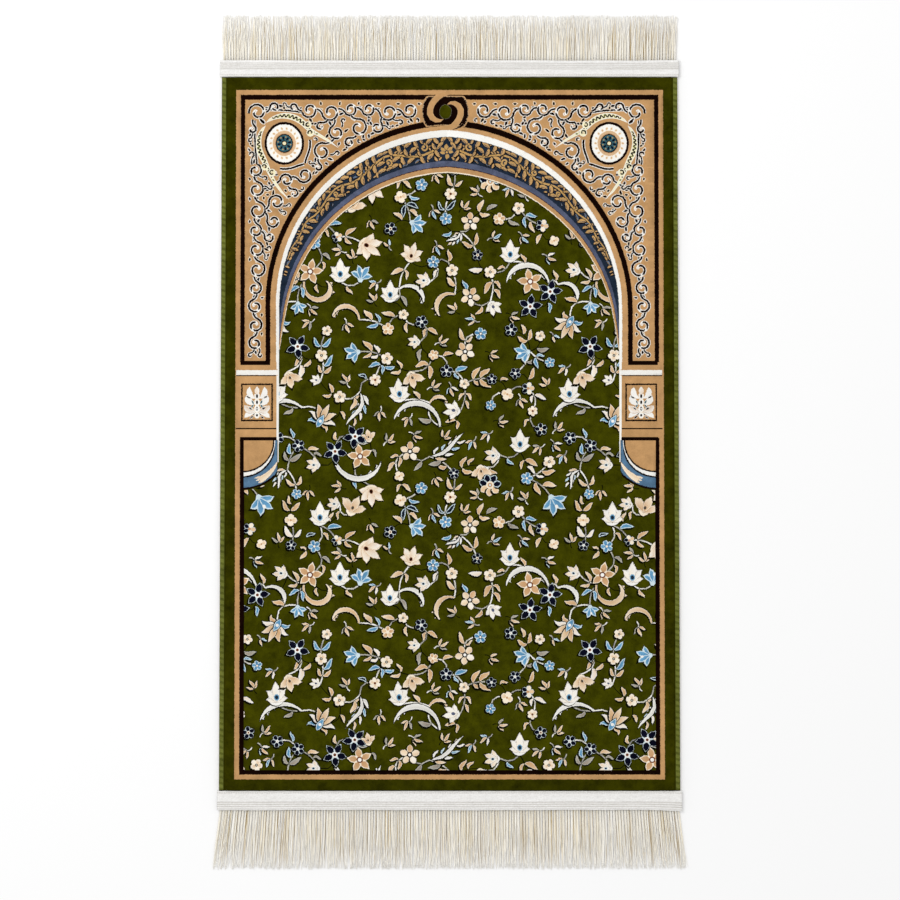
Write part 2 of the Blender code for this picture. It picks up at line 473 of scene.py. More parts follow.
def peony(ch, x, y, size, turn):
    """Round bloom of dark and pale petals."""
    for i in range(7):
        a = turn + 360 / 7 * i
        dark = i in (0, 1, 2, 6)
        places = (0, 0.3, 0.64, 0.9, 1)
        band(ch, swept(*turned(x, y, a, size * 0.2), *turned(x, y, a, size * 1.05), 0, 0,
                       places=places), leaf_half(size * 0.37, 0.58, 0.5),
             "navy" if dark else "peach", "ice" if dark else "cream", 0.9,
             places=places)
    disc(ch, x, y, size * 0.38, "cream", count=9)
    disc(ch, x, y, size * 0.23, "sand", count=8)
    disc(ch, x, y, size * 0.11, "ice", count=6)


# ----------------------------------------------------------- the field's vine
TILE_U, TILE_V = 292.5, 303.6       # size of the repeat
FIELD_AT = (300.0, 455.0)           # where a repeat starts

# The chief motifs of a repeat, by kind. Their places and turns are judged,
# and the places are rounded to 5 or 10 units.
CHIEF = (
    # kind, u, v, size, turn
    ("lotus", 20, 70, 25, 90), ("lotus", 40, 130, 25, 90), ("lotus", 90, 150, 23, 90),
    ("lotus", 210, 110, 24, 90), ("lotusc", 110, 110, 22, 80),
    ("lotus", 100, 250, 25, 95), ("lotus", 270, 250, 25, 95),
    ("lotus", 220, 300, 24, 90), ("lotusc", 70, 30, 25, 280),
    ("tulip", 50, 60, 24, 70), ("lotusc", 60, 90, 27, -30),
    ("bell", 60, 130, 22, 80), ("bell", 110, 70, 21, -20), ("bell", 60, 200, 21, 190),
    ("bell", 230, 200, 21, 190), ("bell", 250, 40, 27, -60), ("bell", 290, 150, 17, -80),
    ("bird", 130, 130, 19, 170), ("bird", 280, 120, 19, 165), ("bird", 40, 50, 17, 170),
    ("bird", 120, 190, 16, 185), ("bird", 200, 0, 20, 185), ("tulipw", 160, 260, 21, 170),
    ("bird", 20, 10, 18, 180), ("tulip", 180, 10, 20, -80), ("tulip", 110, 220, 21, -70),
    ("tulip", 280, 220, 21, -70), ("tulipw", 190, 150, 19, -60),
    ("tulip", 70, 290, 15, 110), ("tulipw", 20, 230, 13, 160),
    ("palmette", 20, 270, 19, 60), ("palmette", 270, 170, 19, 240),
    ("peony", 190, 30, 10.5, 60),
    ("pansy", 170, 70, 9, 90), ("pansy", 170, 145, 9.4, 62),
    ("pansy", 165, 200, 9.5, 120), ("pansy", 110, 300, 9.6, 88),
    ("tan", 10, 120, 12.6, 78), ("tan", 230, 130, 12.8, 102), ("star", 250, 140, 12, 78),
    ("star", 230, 155, 12, 82), ("star", 290, 195, 12, 60), ("star", 35, 300, 12, 60),
    ("tan", 60, 305, 12.6, 100), ("star", 55, 285, 12, 45),
)
# Long acanthus strokes, as arcs.
STROKES = (
    # tint, half width, centre u, v, radius, start, sweep, end radius, lobe side
    ("W", 2.3, 60, 0, 26, 175, 170, 22, 1), ("c", 2.3, 20, 135, 17, 160, 250, 8, 0),
    ("c", 2.0, 45, 168, 14, 0, 170, 13, 1), ("W", 2.3, 225, 135, 24, 10, 160, 19, 1),
    ("W", 2.3, 115, 275, 25, 0, 165, 22, 1), ("W", 2.0, 275, 275, 27, 45, 115, 24, 1),
    ("c", 2.1, 150, 155, 13, 70, 160, 14, 0), ("W", 1.9, 110, 150, 17, 130, -140, 13, -1),
    ("W", 1.9, 265, 145, 14, 120, -150, 12, -1), ("c", 1.7, 140, 255, 11, 160, -120, 9, 0),
)
ACANTHUS = (
    # base u, v, tip u, v, half width, bend
    (60, 240, 45, 275, 5.0, 6.0), (130, 305, 165, 280, 5.0, -4.0),
    (280, 15, 270, 35, 3.6, -4.0), (160, 80, 145, 90, 3.2, 3.0),
)
FILLERS = ("navy", "cream", "blue", "four", "navy", "rose", "blue2", "cream", "half",
           "navyp", "peach", "cream", "navy", "blue", "four", "cream")
STEM_MIX = "wgkwgkwgwk"
LEAF_MIX = "tbctwtcgbctgtcbnct"
SPRIG_MIX = ("btw", "ctg", "ttc", "tbc", "gct", "tcg")


def wrapped(du, dv):
    return (du + TILE_U / 2) % TILE_U - TILE_U / 2, (dv + TILE_V / 2) % TILE_V - TILE_V / 2


class Room:
    """Discs already taken in a repeat, which joins itself at its edges."""

    def __init__(self):
        self.u, self.v, self.r = [], [], []

    def take(self, u, v, r):
        self.u.append(u), self.v.append(v), self.r.append(r)

    def clearance(self, u, v):
        du, dv = (np.array(self.u) - u + TILE_U / 2) % TILE_U - TILE_U / 2, (
            np.array(self.v) - v + TILE_V / 2) % TILE_V - TILE_V / 2
        return float(np.min(np.hypot(du, dv) - np.array(self.r)))


def field_layers():
    """One repeat in three layers: stems, leaves and flowers."""
    rng = random.Random(41)
    stems, leaves, flowers = Chart(), Chart(), Chart()
    room, knots = Room(), []
    for kind, u, v, size, turn in CHIEF:
        if kind in SIDE_FLOWERS:
            size *= 0.88
            side_flower(flowers, kind, u, v, size, turn)
            for along, r in ((0.22, 0.34), (0.62, 0.42)):
                room.take(*turned(u, v, turn, along * size), r * size)
            knots.append((u, v, 0.5))
        elif kind == "palmette":
            palmette(flowers, u, v, size, turn)
            room.take(u, v, size * 0.85)
            knots.append((u, v, size * 0.4))
        elif kind == "peony":
            peony(flowers, u, v, size, turn)
            room.take(u, v, size)
            knots.append((u, v, size))
        elif kind == "pansy":
            pansy(flowers, u, v, size, turn)
            room.take(u, v, size)
            knots.append((u, v, size))
        else:
            blossom(flowers, kind, u, v, size, turn)
            room.take(u, v, size * 0.9)
            knots.append((u, v, size * 0.7))
    for tint, width, u, v, radius, start, sweep, last, side in STROKES:
        path = arc_path(u, v, radius, start, sweep, last)
        lobes = ((0.50, side, 7), (0.66, side, 8), (0.82, side, 6)) if side else (
            (0.62, -1, 8), (0.80, -1, 6))
        plume(leaves, tint, width * 1.3, path, lobes)
        for p, q in path[::2]:
            room.take(p, q, 3.2)
        knots.append((*path[0], 0.0))
    for x0, y0, x1, y1, width, bend in ACANTHUS:
        acanthus(leaves, x0, y0, x1, y1, width, bend)
        for p, q in swept(x0, y0, x1, y1, bend, 5):
            room.take(p, q, width * 1.15)
        knots.append((x0, y0, 0.0))

    # small blossoms where there is room, the roomiest place first
    count = 0
    while count < 46:
        tries = [(rng.uniform(0, TILE_U), rng.uniform(0, TILE_V)) for _ in range(90)]
        gap, u, v = max((room.clearance(*p), *p) for p in tries)
        radius = min(6.4, max(4.3, gap * 0.46)) if count % 3 else min(5.4, gap * 0.42)
        if gap < 6.2:
            break
        blossom(flowers, FILLERS[count % len(FILLERS)], u, v, radius,
                90 + rng.uniform(-30, 30))
        room.take(u, v, radius)
        knots.append((u, v, radius * 0.8))
        count += 1

    # vine: the shortest tree through every flower, drawn with bowed stems
    rest = set(range(1, len(knots)))
    best = {}
    for j in rest:
        best[j] = (math.hypot(*wrapped(knots[j][0] - knots[0][0],
                                       knots[j][1] - knots[0][1])), 0)
    joins = []
    while rest:
        j = min(rest, key=lambda n: (best[n][0], n))
        joins.append((best[j][1], j, best[j][0]))
        rest.remove(j)
        for n in rest:
            d = math.hypot(*wrapped(knots[n][0] - knots[j][0],
                                    knots[n][1] - knots[j][1]))
            if d < best[n][0]:
                best[n] = (d, j)
    turn_side = 1
    for index, (i, j, size) in enumerate(joins):
        u0, v0, r0 = knots[i]
        du, dv = wrapped(knots[j][0] - u0, knots[j][1] - v0)
        if size < r0 + knots[j][2] + 2:
            continue
        turn_side = -turn_side
        options = []
        for bend in (0.22, -0.22, 0.34, -0.34, 0.1):
            path = swept(u0, v0, u0 + du, v0 + dv, bend * turn_side * size, 9)
            gaps = [room.clearance(*p) for p in path[2:7]]
            options.append((sum(max(0.0, -g) for g in gaps) + abs(bend) * 2, bend))
        bend = min(options)[1] * turn_side * size
        tint = STEM_MIX[index % len(STEM_MIX)]
        path = swept(u0, v0, u0 + du, v0 + dv, bend, max(4, min(8, round(size / 4.6))))
        stem(stems, tint, 0.62 if tint in "wc" else 0.55, path)
        for k, t in enumerate((0.35, 0.62, 0.5)[:1 + int(size > 26) + int(size > 40)]):
            fine = swept(u0, v0, u0 + du, v0 + dv, bend, 21)
            m = round(t * 20)
            (px, py), (qx, qy) = fine[m], fine[m + 1]
            head = math.degrees(math.atan2(py - qy, qx - px))
            for side in ((1, -1) if k % 2 else (-1, 1)):
                length = rng.uniform(9.5, 15)
                for reach in (length, length * 0.75):
                    tip = turned(px, py, head + side * 44, reach)
                    mid = turned(px, py, head + side * 44, reach * 0.6)
                    if room.clearance(*mid) > 1.6 and room.clearance(*tip) > 0.8:
                        w = reach * rng.uniform(0.16, 0.20)
                        tint = LEAF_MIX[(index + k) % len(LEAF_MIX)]
                        leaf(leaves, px, py, *tip, w, side * rng.uniform(0.9, 2.4), tint,
                             side * rng.uniform(0.4, 1.1))
                        room.take(*mid, reach * 0.36)
                        break

    # sprigs, pairs and single leaves fill what is left
    for count in range(240):
        tries = [(rng.uniform(0, TILE_U), rng.uniform(0, TILE_V)) for _ in range(30)]
        gap, u, v = max((room.clearance(*p), *p) for p in tries)
        if gap < 4.5:
            break
        length = min(14.0, gap * 2.1)
        head, best_gap = 0, -9
        for a in range(0, 360, 24):
            g = min(room.clearance(*turned(u, v, a, length * 0.42)),
                    room.clearance(*turned(u, v, a + 180, length * 0.42)))
            if g > best_gap:
                head, best_gap = a, g
        if gap > 5.4:
            foot = turned(u, v, head + 180, length * 0.62)
            base = turned(u, v, head + 180, length * 0.18)
            stem(stems, "gwk"[count % 3], 0.5, swept(*foot, *base, 0.9, 4))
            tints = SPRIG_MIX[count % len(SPRIG_MIX)]
            sprig(leaves, *base, head, length * 0.72, tints[:2 + (gap > 6.4)],
                  52 if gap > 6.4 else 62)
            room.take(u, v, length * 0.46)
            continue
        base = turned(u, v, head + 180, length * 0.5)
        leaf(leaves, *base, *turned(u, v, head, length * 0.5),
             length * rng.uniform(0.15, 0.20), rng.uniform(-1.9, 1.9),
             LEAF_MIX[(count * 3) % len(LEAF_MIX)], rng.uniform(-1.0, 1.0))
        room.take(*turned(u, v, head, length * 0.22), length * 0.30)
        room.take(*turned(u, v, head + 180, length * 0.22), length * 0.30)
    return stems, leaves, flowers


def draw_field(ch):
    def inside(u, v):
        if not (242 < u < 660 and 170 < v < 774):
            return False
        if v < 306:                       # under the arch's bands
            return math.hypot(u - 447, v - 337) < 172
        return v > 470 or 275 < u < 622

    for layer in field_layers():
        for row in (-2, -1, 0, 1, 2):
            for column in (-1, 0, 1):
                du = FIELD_AT[0] + column * TILE_U
                dv = FIELD_AT[1] + row * TILE_V
                layer.copy_to(ch, lambda u, v: (u + du, v + dv), inside)


# --------------------------------------------- borders, arch, knot and columns
FRAME_V = (76.5, 791.0)             # pile ends
ARCH_RADIUS, ARCH_OFF, ARCH_RISE = 181.5, 10.0, 0.965
ARCH_TOP, ARCH_FOOT = 132.0, 462.0
BAND = 30.0                         # drop from the white line to the blue one
KNOT = (445.0, 111.4)
ROUNDEL = (284.0, 143.0, 20.6)


def axis_u(v):
    """The arch leans a little: its axis moves right towards the foot."""
    t = min(1.0, max(0.0, (v - 160) / 170))
    return 446.4 + 2.6 * t * t * (3 - 2 * t)


def arch_line(side, drop=0.0, foot=ARCH_FOOT, step=4.2):
    """The arch's line from one column's foot up to the apex."""
    springing = ARCH_TOP + 174.9 + drop
    path = []
    if foot > springing:
        cuts = max(2, round((foot - springing) / 12))
        path = [(axis_u(foot) + side * 171.5, foot + (springing - foot) * i / cuts)
                for i in range(cuts)]
    end = math.acos(ARCH_OFF / ARCH_RADIUS)
    cuts = round(ARCH_RADIUS * end / step)
    for i in range(cuts + 1):
        a = end * i / cuts
        dx = ARCH_RADIUS * math.cos(a) - ARCH_OFF
        v = springing - ARCH_RISE * ARCH_RADIUS * math.sin(a)
        path.append((axis_u(v) + side * dx, v))
    return path


def beside(path, side, gap):
    """Path moved outward by gap(t)."""
    out, last = [], len(path) - 1
    for i, (x, y) in enumerate(path):
        (ax, ay), (bx, by) = path[max(0, i - 1)], path[min(last, i + 1)]
        size = math.hypot(bx - ax, by - ay) or 1.0
        d = gap(i / last) if callable(gap) else gap
        if i == last:                     # the two halves meet at the apex
            out.append((x, y - d))
            continue
        out.append((x - side * (by - ay) / size * d, y + side * (bx - ax) / size * d))
    return out


def stripes(ch, path, side, cuts, level=1):
    """Stripes along a path, from outside to inside; gives back their lines, where the caller sets
    tufted seams.

    cuts: (offset at the path's start, at its end, colour inside that line).
    The first entry's own seam lies against the colour given before it."""
    lines = [(lambda t, a=a, b=b: a + (b - a) * t) for a, b, _ in cuts]
    for k in range(len(cuts) - 1):
        if cuts[k][2] is not None:
            rails(ch, beside(path, side, lines[k]), beside(path, side, lines[k + 1]),
                  cuts[k][2], level)
    return lines


def seam(ch, path, side, line, outer, inner, reach=0.62):
    """Uneven line of tufts where two colours meet."""
    shift = lambda s: (lambda t: line(t) + s)
    rails(ch, beside(path, side, shift(reach)), beside(path, side, shift(-reach)),
          inner, 0, (-reach, reach), outer)


def slab(ch, u0, v0, u1, v1, colour, level=1, foot=None, edge=None):
    """Straight stripe. foot gives its (u0, u1) at the lower end where it leans.
    edge is the colour round it, for tufted seams on all four sides."""
    f0, f1 = foot or (u0, u1)
    rails(ch, [(u0, v0), (f0, v1)], [(u1, v0), (f1, v1)], colour, level)
    if edge:
        r = 0.6
        tall, wide = abs(v1 - v0), abs(u1 - u0)
        if tall >= wide or tall > 8:
            for a, b, s in ((u0, f0, -1), (u1, f1, 1)):
                rails(ch, [(a + s * r, v0), (b + s * r, v1)],
                      [(a - s * r, v0), (b - s * r, v1)], colour, 0, (-r, r), edge)
        if wide > tall or wide > 8:
            for v, a, b, s in ((v0, u0, u1, -1), (v1, f0, f1, 1)):
                rails(ch, [(a, v + s * r), (b, v + s * r)],
                      [(a, v - s * r), (b, v - s * r)], colour, 0, (-r, r), edge)


def mirror(u, v):
    return 2 * axis_u(v) - u, v


def scroll(ch, x, y, radius, start, sweep, width=1.0, end=0.2, tint="white"):
    """Curl that winds inward: a pale stroke with a broken dark line in it."""
    cuts = max(5, round(abs(sweep) / 360 * (6.5 + 0.9 * radius)))
    path = [turned(x, y, start + sweep * i / cuts,
                   radius * (1 - (1 - end) * (i / cuts) ** 1.5)) for i in range(cuts + 1)]
    band(ch, path, 1.12 * width, "ink", edge=tint, margin=(0.62 * width, 0.0), level=1,
         core=lambda t: (1.12 if t < 0.84 and round(t * cuts) % 11 != 7 else -0.3) * width,
         swell=lambda t: (0.55 + 0.45 * min(1, t * 4)) * (1 - 0.2 * t))
    disc(ch, *path[-1], width * 1.0, tint, count=6, edge="tan")


def flick(ch, x0, y0, x1, y1, width, bend, tint="white"):
    """Small pale leaf with a dark line near its base."""
    size = math.hypot(x1 - x0, y1 - y0)
    places = (0, 0.25, 0.55, 1) if size < 6 else (0, 0.16, 0.38, 0.66, 1)
    dark = size > 4.5
    band(ch, swept(x0, y0, x1, y1, bend, 0, 0, places), leaf_half(width, 0.4, 0.8),
         lambda t, s: YARN["ink"] if dark and 0.1 < t < 0.8 else YARN["sand"],
         tint, width * 0.34, "tan", (0.15, 0.0), places=places)


def crescent(start, sweep, radius, leave, reach):
    """Line that follows the roundel and then swings away from it."""
    x, y, _ = ROUNDEL
    path = []
    for i in range(33):
        t = i / 32
        away = reach * max(0.0, (t - leave) / (1 - leave)) ** 2.4
        path.append(turned(x, y, start + sweep * t, radius + away))
    return path


CRESCENTS = (crescent(131, -136, 27.6, 0.66, 27), crescent(137, 138, 25.8, 0.5, 31))


def garland(ch, path, side):
    """Crescent of pale yarn with dark slanting teeth and two curls."""
    half = lambda t: 0.3 + 2.2 * max(0.0, math.sin(math.pi * t ** 0.9)) ** 1.2
    band(ch, path[::2], lambda t: half(t) if 0 < t < 1 else 0, "lemon", edge="white",
         margin=(0.55, 0.0))
    n = len(path) - 1
    for i in range(4, n - 3, 1):
        t = i / n
        w = half(t) * 0.85
        if w < 0.8:
            continue
        (x, y), (bx, by) = path[i], path[i + 1]
        head = math.degrees(math.atan2(y - by, bx - x))
        lean = head + (58 if i % 2 else -64)
        p, q = turned(x, y, lean, w), turned(x, y, lean, -w)
        d = 0.72 if i % 3 else 0.9
        rails(ch, [turned(*p, head, d), turned(*q, head, d)],
              [turned(*p, head, -d), turned(*q, head, -d)],
              "olive" if i % 5 == 2 else "ink", 0)
    for t, out, r in ((0.70, 1.0, 3.3), (0.79, -1.0, 3.6)):
        i = round(t * n)
        (x, y), (bx, by) = path[i], path[i + 1]
        head = math.degrees(math.atan2(y - by, bx - x))
        u, v = turned(x, y, head + 90 * side * out, 2.2)
        disc(ch, u, v, r, "lemon", count=10, edge="white", margin=(0.4, 0))
        scroll(ch, u, v, r - 1.0, head + 120 * side * out, side * out * 320, 0.7, 0.2,
               "lemon")


def roundel(ch, x, y):
    """Ringed rosette in the corner beside the arch, a little taller than wide."""
    tall = 1.09
    for radius, colour, edge in ((19.9, "ink", "tan"), (17.5, "white", "ink"),
                                 (11.6, "rose", "cream"), (9.5, "sand", "rose"),
                                 (8.8, "ink", "sand")):
        disc(ch, x, y, radius, colour, radius * tall, 32, level=int(colour != "ink"),
             edge=edge, margin=(0.45, 0))
    disc(ch, x, y, 7.7, "teal", 8.4, 24)
    for i in range(18):
        a = 20 * i
        px, py = turned(x, y, a, 13.6)
        disc(ch, px, y + (py - y) * tall, 1.5, "rose", 0.95, 6, a + 25, edge="cream",
             margin=(0.5, 0))
    for i in range(8):
        a = 45 * i + 10
        disc(ch, *turned(x, y, a, 5.3), 2.0, "navy", 1.05, 7, a)
        disc(ch, *turned(x, y, a + 22, 6.4), 0.8, "gold", count=5)
    disc(ch, x, y, 2.9, "navy", count=9)
    disc(ch, x, y, 1.7, "lemon", count=8, edge="gold")


def spandrel_gap(u, v):
    """Distance from points of the left spandrel to its nearest edge."""
    t = np.clip((v - 160) / 170, 0, 1)
    dx = np.abs(u - (446.4 + 2.6 * t * t * (3 - 2 * t)))
    rise = (ARCH_TOP + 174.9 - v) / ARCH_RISE
    arch = np.where(rise > 0, np.hypot(dx + ARCH_OFF, rise) - ARCH_RADIUS - 12.6,
                    dx - 184.0)
    knot = np.hypot(u - KNOT[0], v - KNOT[1]) - 24.5
    gap = np.minimum(np.minimum(arch, knot), np.minimum(u - 245.4, v - 99.8))
    return np.minimum(gap, 360.0 - v)


def fill_spandrel(ch):
    """Scrollwork by rule: the largest curl that fits comes first, then smaller
    ones, each springing from its nearest neighbour, and last small leaves."""
    gu, gv = np.meshgrid(np.arange(246, 426, 1.0), np.arange(100, 360, 1.0))
    gu, gv = gu.ravel(), gv.ravel()
    room = spandrel_gap(gu, gv) - 0.5
    # clear of the roundel and of its crescents
    room = np.minimum(room, np.hypot(gu - ROUNDEL[0], gv - ROUNDEL[1]) - 28.0)
    for path in CRESCENTS:
        for i, (u, v) in enumerate(path):
            wide = 0.8 + 3.0 * math.sin(math.pi * (i / 32) ** 0.9)
            room = np.minimum(room, np.hypot(gu - u, gv - v) - wide)
    keep = room > 0.5
    gu, gv, room = gu[keep], gv[keep], room[keep]
    placed = []

    def free(u, v, own):
        gap = float(spandrel_gap(np.array([u]), np.array([v]))[0])
        gap = min(gap, math.hypot(u - ROUNDEL[0], v - ROUNDEL[1]) - 28.0)
        for path in CRESCENTS:
            gap = min(gap, *(math.hypot(u - p, v - q) - 3.0 for p, q in path[::2]))
        for p in placed:
            if p is not own:
                gap = min(gap, math.hypot(u - p[0], v - p[1]) - p[2] + 0.4)
        return gap

    for count in range(150):
        # the largest that fits, and of equals the one nearest the corner
        fit = np.minimum(room, 10.8 - 1.1 * (count % 3))
        k = int(np.argmax(fit - 0.0006 * (gu + gv)))
        r = float(fit[k])
        if r < 2.2:
            break
        u, v = float(gu[k]), float(gv[k])
        side = 1 if count % 2 else -1
        near = min(placed, key=lambda p: math.hypot(u - p[0], v - p[1]) - p[2],
                   default=None)
        away = 200.0 if near is None else math.degrees(math.atan2(v - near[1],
                                                                  near[0] - u))
        room = np.minimum(room, np.hypot(gu - u, gv - v) - r)
        own = (u, v, r)
        placed.append(own)
        if r > 3.4:
            wide = 1.0 if r > 5.5 else 0.82
            start = away + side * 12
            scroll(ch, u, v, r - 2.2, start, side * (430 if r > 6.5 else 340), wide)
            if near and near[2] > 3.4:
                foot = turned(near[0], near[1], away + 180 + side * 16, near[2] - 2.2)
                band(ch, swept(*foot, *turned(u, v, start, r - 2.2), side * 0.8, 4),
                     1.0 * wide, "ink", edge="white", margin=(0.6 * wide, 0.0),
                     core=lambda t: wide)
            # leaves that spring from the curl, outward where there is room
            for turn in range(80, 360, 84):
                a = away + side * turn
                foot = turned(u, v, a, r - 2.0)
                reach = min(7.5, 3.4 + r * 0.42)
                tip = turned(*foot, a + side * 40, reach)
                if free(*tip, own) > 0.6:
                    flick(ch, *foot, *tip, 1.9, side * 0.9,
                          "cream" if (count + turn) % 3 == 0 else "white")
        elif r > 2.9:
            scroll(ch, u, v, r - 1.3, away, side * 260, 0.8, 0.4)
        else:
            head = away + side * 40
            flick(ch, *turned(u, v, head, r * 1.05), *turned(u, v, head + 180, r * 1.15),
                  1.8, side * 0.6, "cream" if count % 3 else "white")


def draw_spandrel(ch):
    x, y, r = ROUNDEL
    fill_spandrel(ch)
    # two crescents round the roundel, and the stems on its other side
    for path, side in zip(CRESCENTS, (1, -1)):
        garland(ch, path, side)
    for start, sweep in ((8, -52), (-100, 54)):
        path = [turned(x, y, start + sweep * i / 8, 25.8 + 3.0 * (i / 8) ** 6)
                for i in range(9)]
        band(ch, path, 1.05, "ink", edge="white", margin=(0.6, 0.0))
    flick(ch, *turned(x, y, 135, 27), *turned(x, y, 135, 37), 2.4, 0.0, "white")
    roundel(ch, x, y)


def draw_panel(ch):
    """Square panel of a column with a symmetric ornament of leaves."""
    slab(ch, 241.0, 383.4, 272.8, 421.2, "ink", 0, edge="tan")
    slab(ch, 242.6, 385.0, 271.2, 419.6, "tan", edge="ink")
    c, foot = 256.9, 418.6
    for s in (-1, 1):
        # tiers of paired leaves: outward, level, and up like a lyre
        for v, out, reach, turn, width, bend, pale in (
                (-7.0, 1.0, 13.2, -27, 2.7, -1.4, "white"), (-8.5, 1.0, 12.6, 22, 3.3, 2.2, "rose"),
                (-15.0, 1.0, 13.0, 42, 3.4, 2.8, "white"), (-20.0, 2.0, 13.0, 66, 2.9, 3.0, "white")):
            base = (c + s * out, foot + v)
            tip = turned(*base, 90 - s * (90 - turn), reach)
            band(ch, swept(*base, *tip, -s * bend, 7), leaf_half(width, 0.55, 0.7),
                 shaded("white", pale) if s < 0 else shaded(pale, "white"), "white", 0.6,
                 "tan", (0.3, 0.15))
        # dark marks between them
        for du, dv, turn, size in ((8.6, -21.5, 28, 2.8), (4.3, -16.5, 62, 2.5),
                                   (4.6, -12.6, -50, 2.2), (6.6, -10.2, 34, 2.4),
                                   (5.4, -1.4, -32, 2.3), (2.6, -4.6, -42, 2.0)):
            head = 90 - s * (90 - turn)
            u, v = c + s * du, foot + dv
            band(ch, swept(*turned(u, v, head + 180, size), *turned(u, v, head, size),
                           0, 4), leaf_half(0.85, 0.5, 0.7),
                 "teal" if dv in (-16.5, -12.6) else "ink", edge="white",
                 margin=(0.3, 0), level=0)
    for k, (dv, tall) in enumerate(((-3.4, 1.4), (-10.0, 2.2), (-16.4, 2.1), (-22.6, 2.3))):
        v = foot + dv
        disc(ch, c, v, 2.6, "white", tall + 1.6, 8, edge="cream", margin=(0.4, 0))
        disc(ch, c, v, 1.15, "ink", tall, 6, level=0)
    disc(ch, c, foot - 10.0, 0.7, "white", 1.1, 6, level=0)
    leaf(ch, c, foot - 24.5, c, foot - 32.4, 2.5, 0, "w", edge="tan")


def draw_column(ch):
    """Left column below the arch's springing."""
    slab(ch, 236.2, 362, 276.4, 438, "tan")
    slab(ch, 240.3, 360.7, 270.0, 364.9, "ink", 0)
    slab(ch, 236.0, 370.0, 277.6, 374.9, "white", edge="tan")
    slab(ch, 236.0, 375.0, 276.0, 376.0, "ink", 0)
    draw_panel(ch)
    slab(ch, 235.5, 427.9, 276.4, 429.2, "ink", 0)
    # quarter arch at the column's foot: tan, white crescent, blue
    cu, cv = 243.7, 440.0

    def curve(radius, count=15):
        """From the right side down to the border's line; t runs with the turn."""
        return [turned(cu, cv, -90 * i / count, radius(i / count))
                for i in range(count + 1)]

    def sector(radius, colour, level, edge):
        ring = [(min(p, 277.0), q) for p, q in curve(radius)]
        points = [(cu, cv, 9.0, YARN[colour])]
        points += [(p, q, 9.0, YARN[colour]) for p, q in ring]
        ch.add(points, [(0, i, i + 1) for i in range(1, len(ring))], colour, 0.0,
               colour, level)
        lean = [math.degrees(math.atan2(cv - q, p - cu)) for p, q in ring]
        rails(ch, [turned(*p, a, 0.6) for p, a in zip(ring, lean)],
              [turned(*p, a, -0.6) for p, a in zip(ring, lean)], colour, 0,
              (-0.6, 0.6), edge)

    swell = lambda t: min(1.0, max(0.0, (t - 0.17) / 0.83)) ** 0.5
    sector(lambda t: 49.7 - 1.3 * math.sin(math.pi * t), "ink", 0, "ground")
    sector(lambda t: 47.7 - 1.3 * math.sin(math.pi * t), "steel", 1, "ink")
    # cream leaf that runs along the blue
    path = [turned(cu, cv, -32 - 36 * i / 9, 39.8 + 3.2 * (i / 9) ** 0.8)
            for i in range(10)]
    for i, a in enumerate((-75, -74, -72)):
        leaf(ch, *turned(cu, cv, -62, 40.6 + 1.6 * i), *turned(cu, cv, a, 39.6 + 2.9 * i),
             1.2, 0.3, "c", edge="steel")
    band(ch, path, lambda t: 3.3 * t ** 0.7 if t > 0 else 0, shaded("cream", "peach"),
         "cream", 0.7, "brown", (0.25, 0.1))
    sector(lambda t: 31.4 + 1.8 * t + 4.6 * swell(t), "ink", 0, "steel")
    sector(lambda t: 29.8 + 1.8 * t + 4.6 * swell(t), "white", 1, "ink")
    sector(lambda t: 30.8 + 1.6 * t, "ink", 0, "white")
    sector(lambda t: 29.2 + 1.6 * t, "tan", 1, "ink")
    slab(ch, 240.0, 437.0, 276.6, 440.4, "ink", 0)


def draw_knot(ch):
    """Two strands that wind round each other and join the border to the arch."""
    u, v = KNOT
    # dark ground of the knot, from the border's line down to the arch's
    ring = []
    for i in range(48):
        a = 2 * math.pi * i / 48
        dx, dy = 23.8 * math.cos(a), -24.3 * math.sin(a)
        ring.append((u + dx, v + max(-15.6, min(13.2 + 0.006 * dx * dx, dy))))
    fan(ch, u, v, ring, 9.0, "ink", margin=(0.5, 0.0), level=0, edge="tan")
    for side in (-1, 1):
        # tan strand: leaves the border (or the arch) and thins under the middle
        path = []
        for i in range(11):
            t = i / 10
            r = (15.5 + 4.0 * max(0.0, 1 - t / 0.35) ** 1.5
                 - 8.0 * max(0.0, t / 0.4 - 1.5) ** 1.5)
            a = math.radians(-80 - 178 * t)
            path.append((u - side * r * math.cos(a), v - side * r * math.sin(a)))
        if side > 0:
            path[0], path[1] = (u - 3.0, v + 16.4), (u + 3.4, v + 15.7)
        band(ch, path, lambda t: (2.0 + 0.95 * min(1, t / 0.2))
             * (1 - max(0.0, (t - 0.6) / 0.4) ** 2) if t < 1 else 0, "tan", edge="tan",
             margin=(0.1, 0))
    # dark point under the right strand
    band(ch, [(u + 17.5, v + 13.0), (u + 14.0, v + 15.4), (u + 10.0, v + 17.1),
              (u + 5.4, v + 18.4)], lambda t: 1.5 * (1 - t), "ink", edge="tan",
         margin=(0.1, 0), level=0)
    disc(ch, u, v, 6.1, "ground", 7.3, 18, level=0, edge="ink", margin=(0.5, 0))


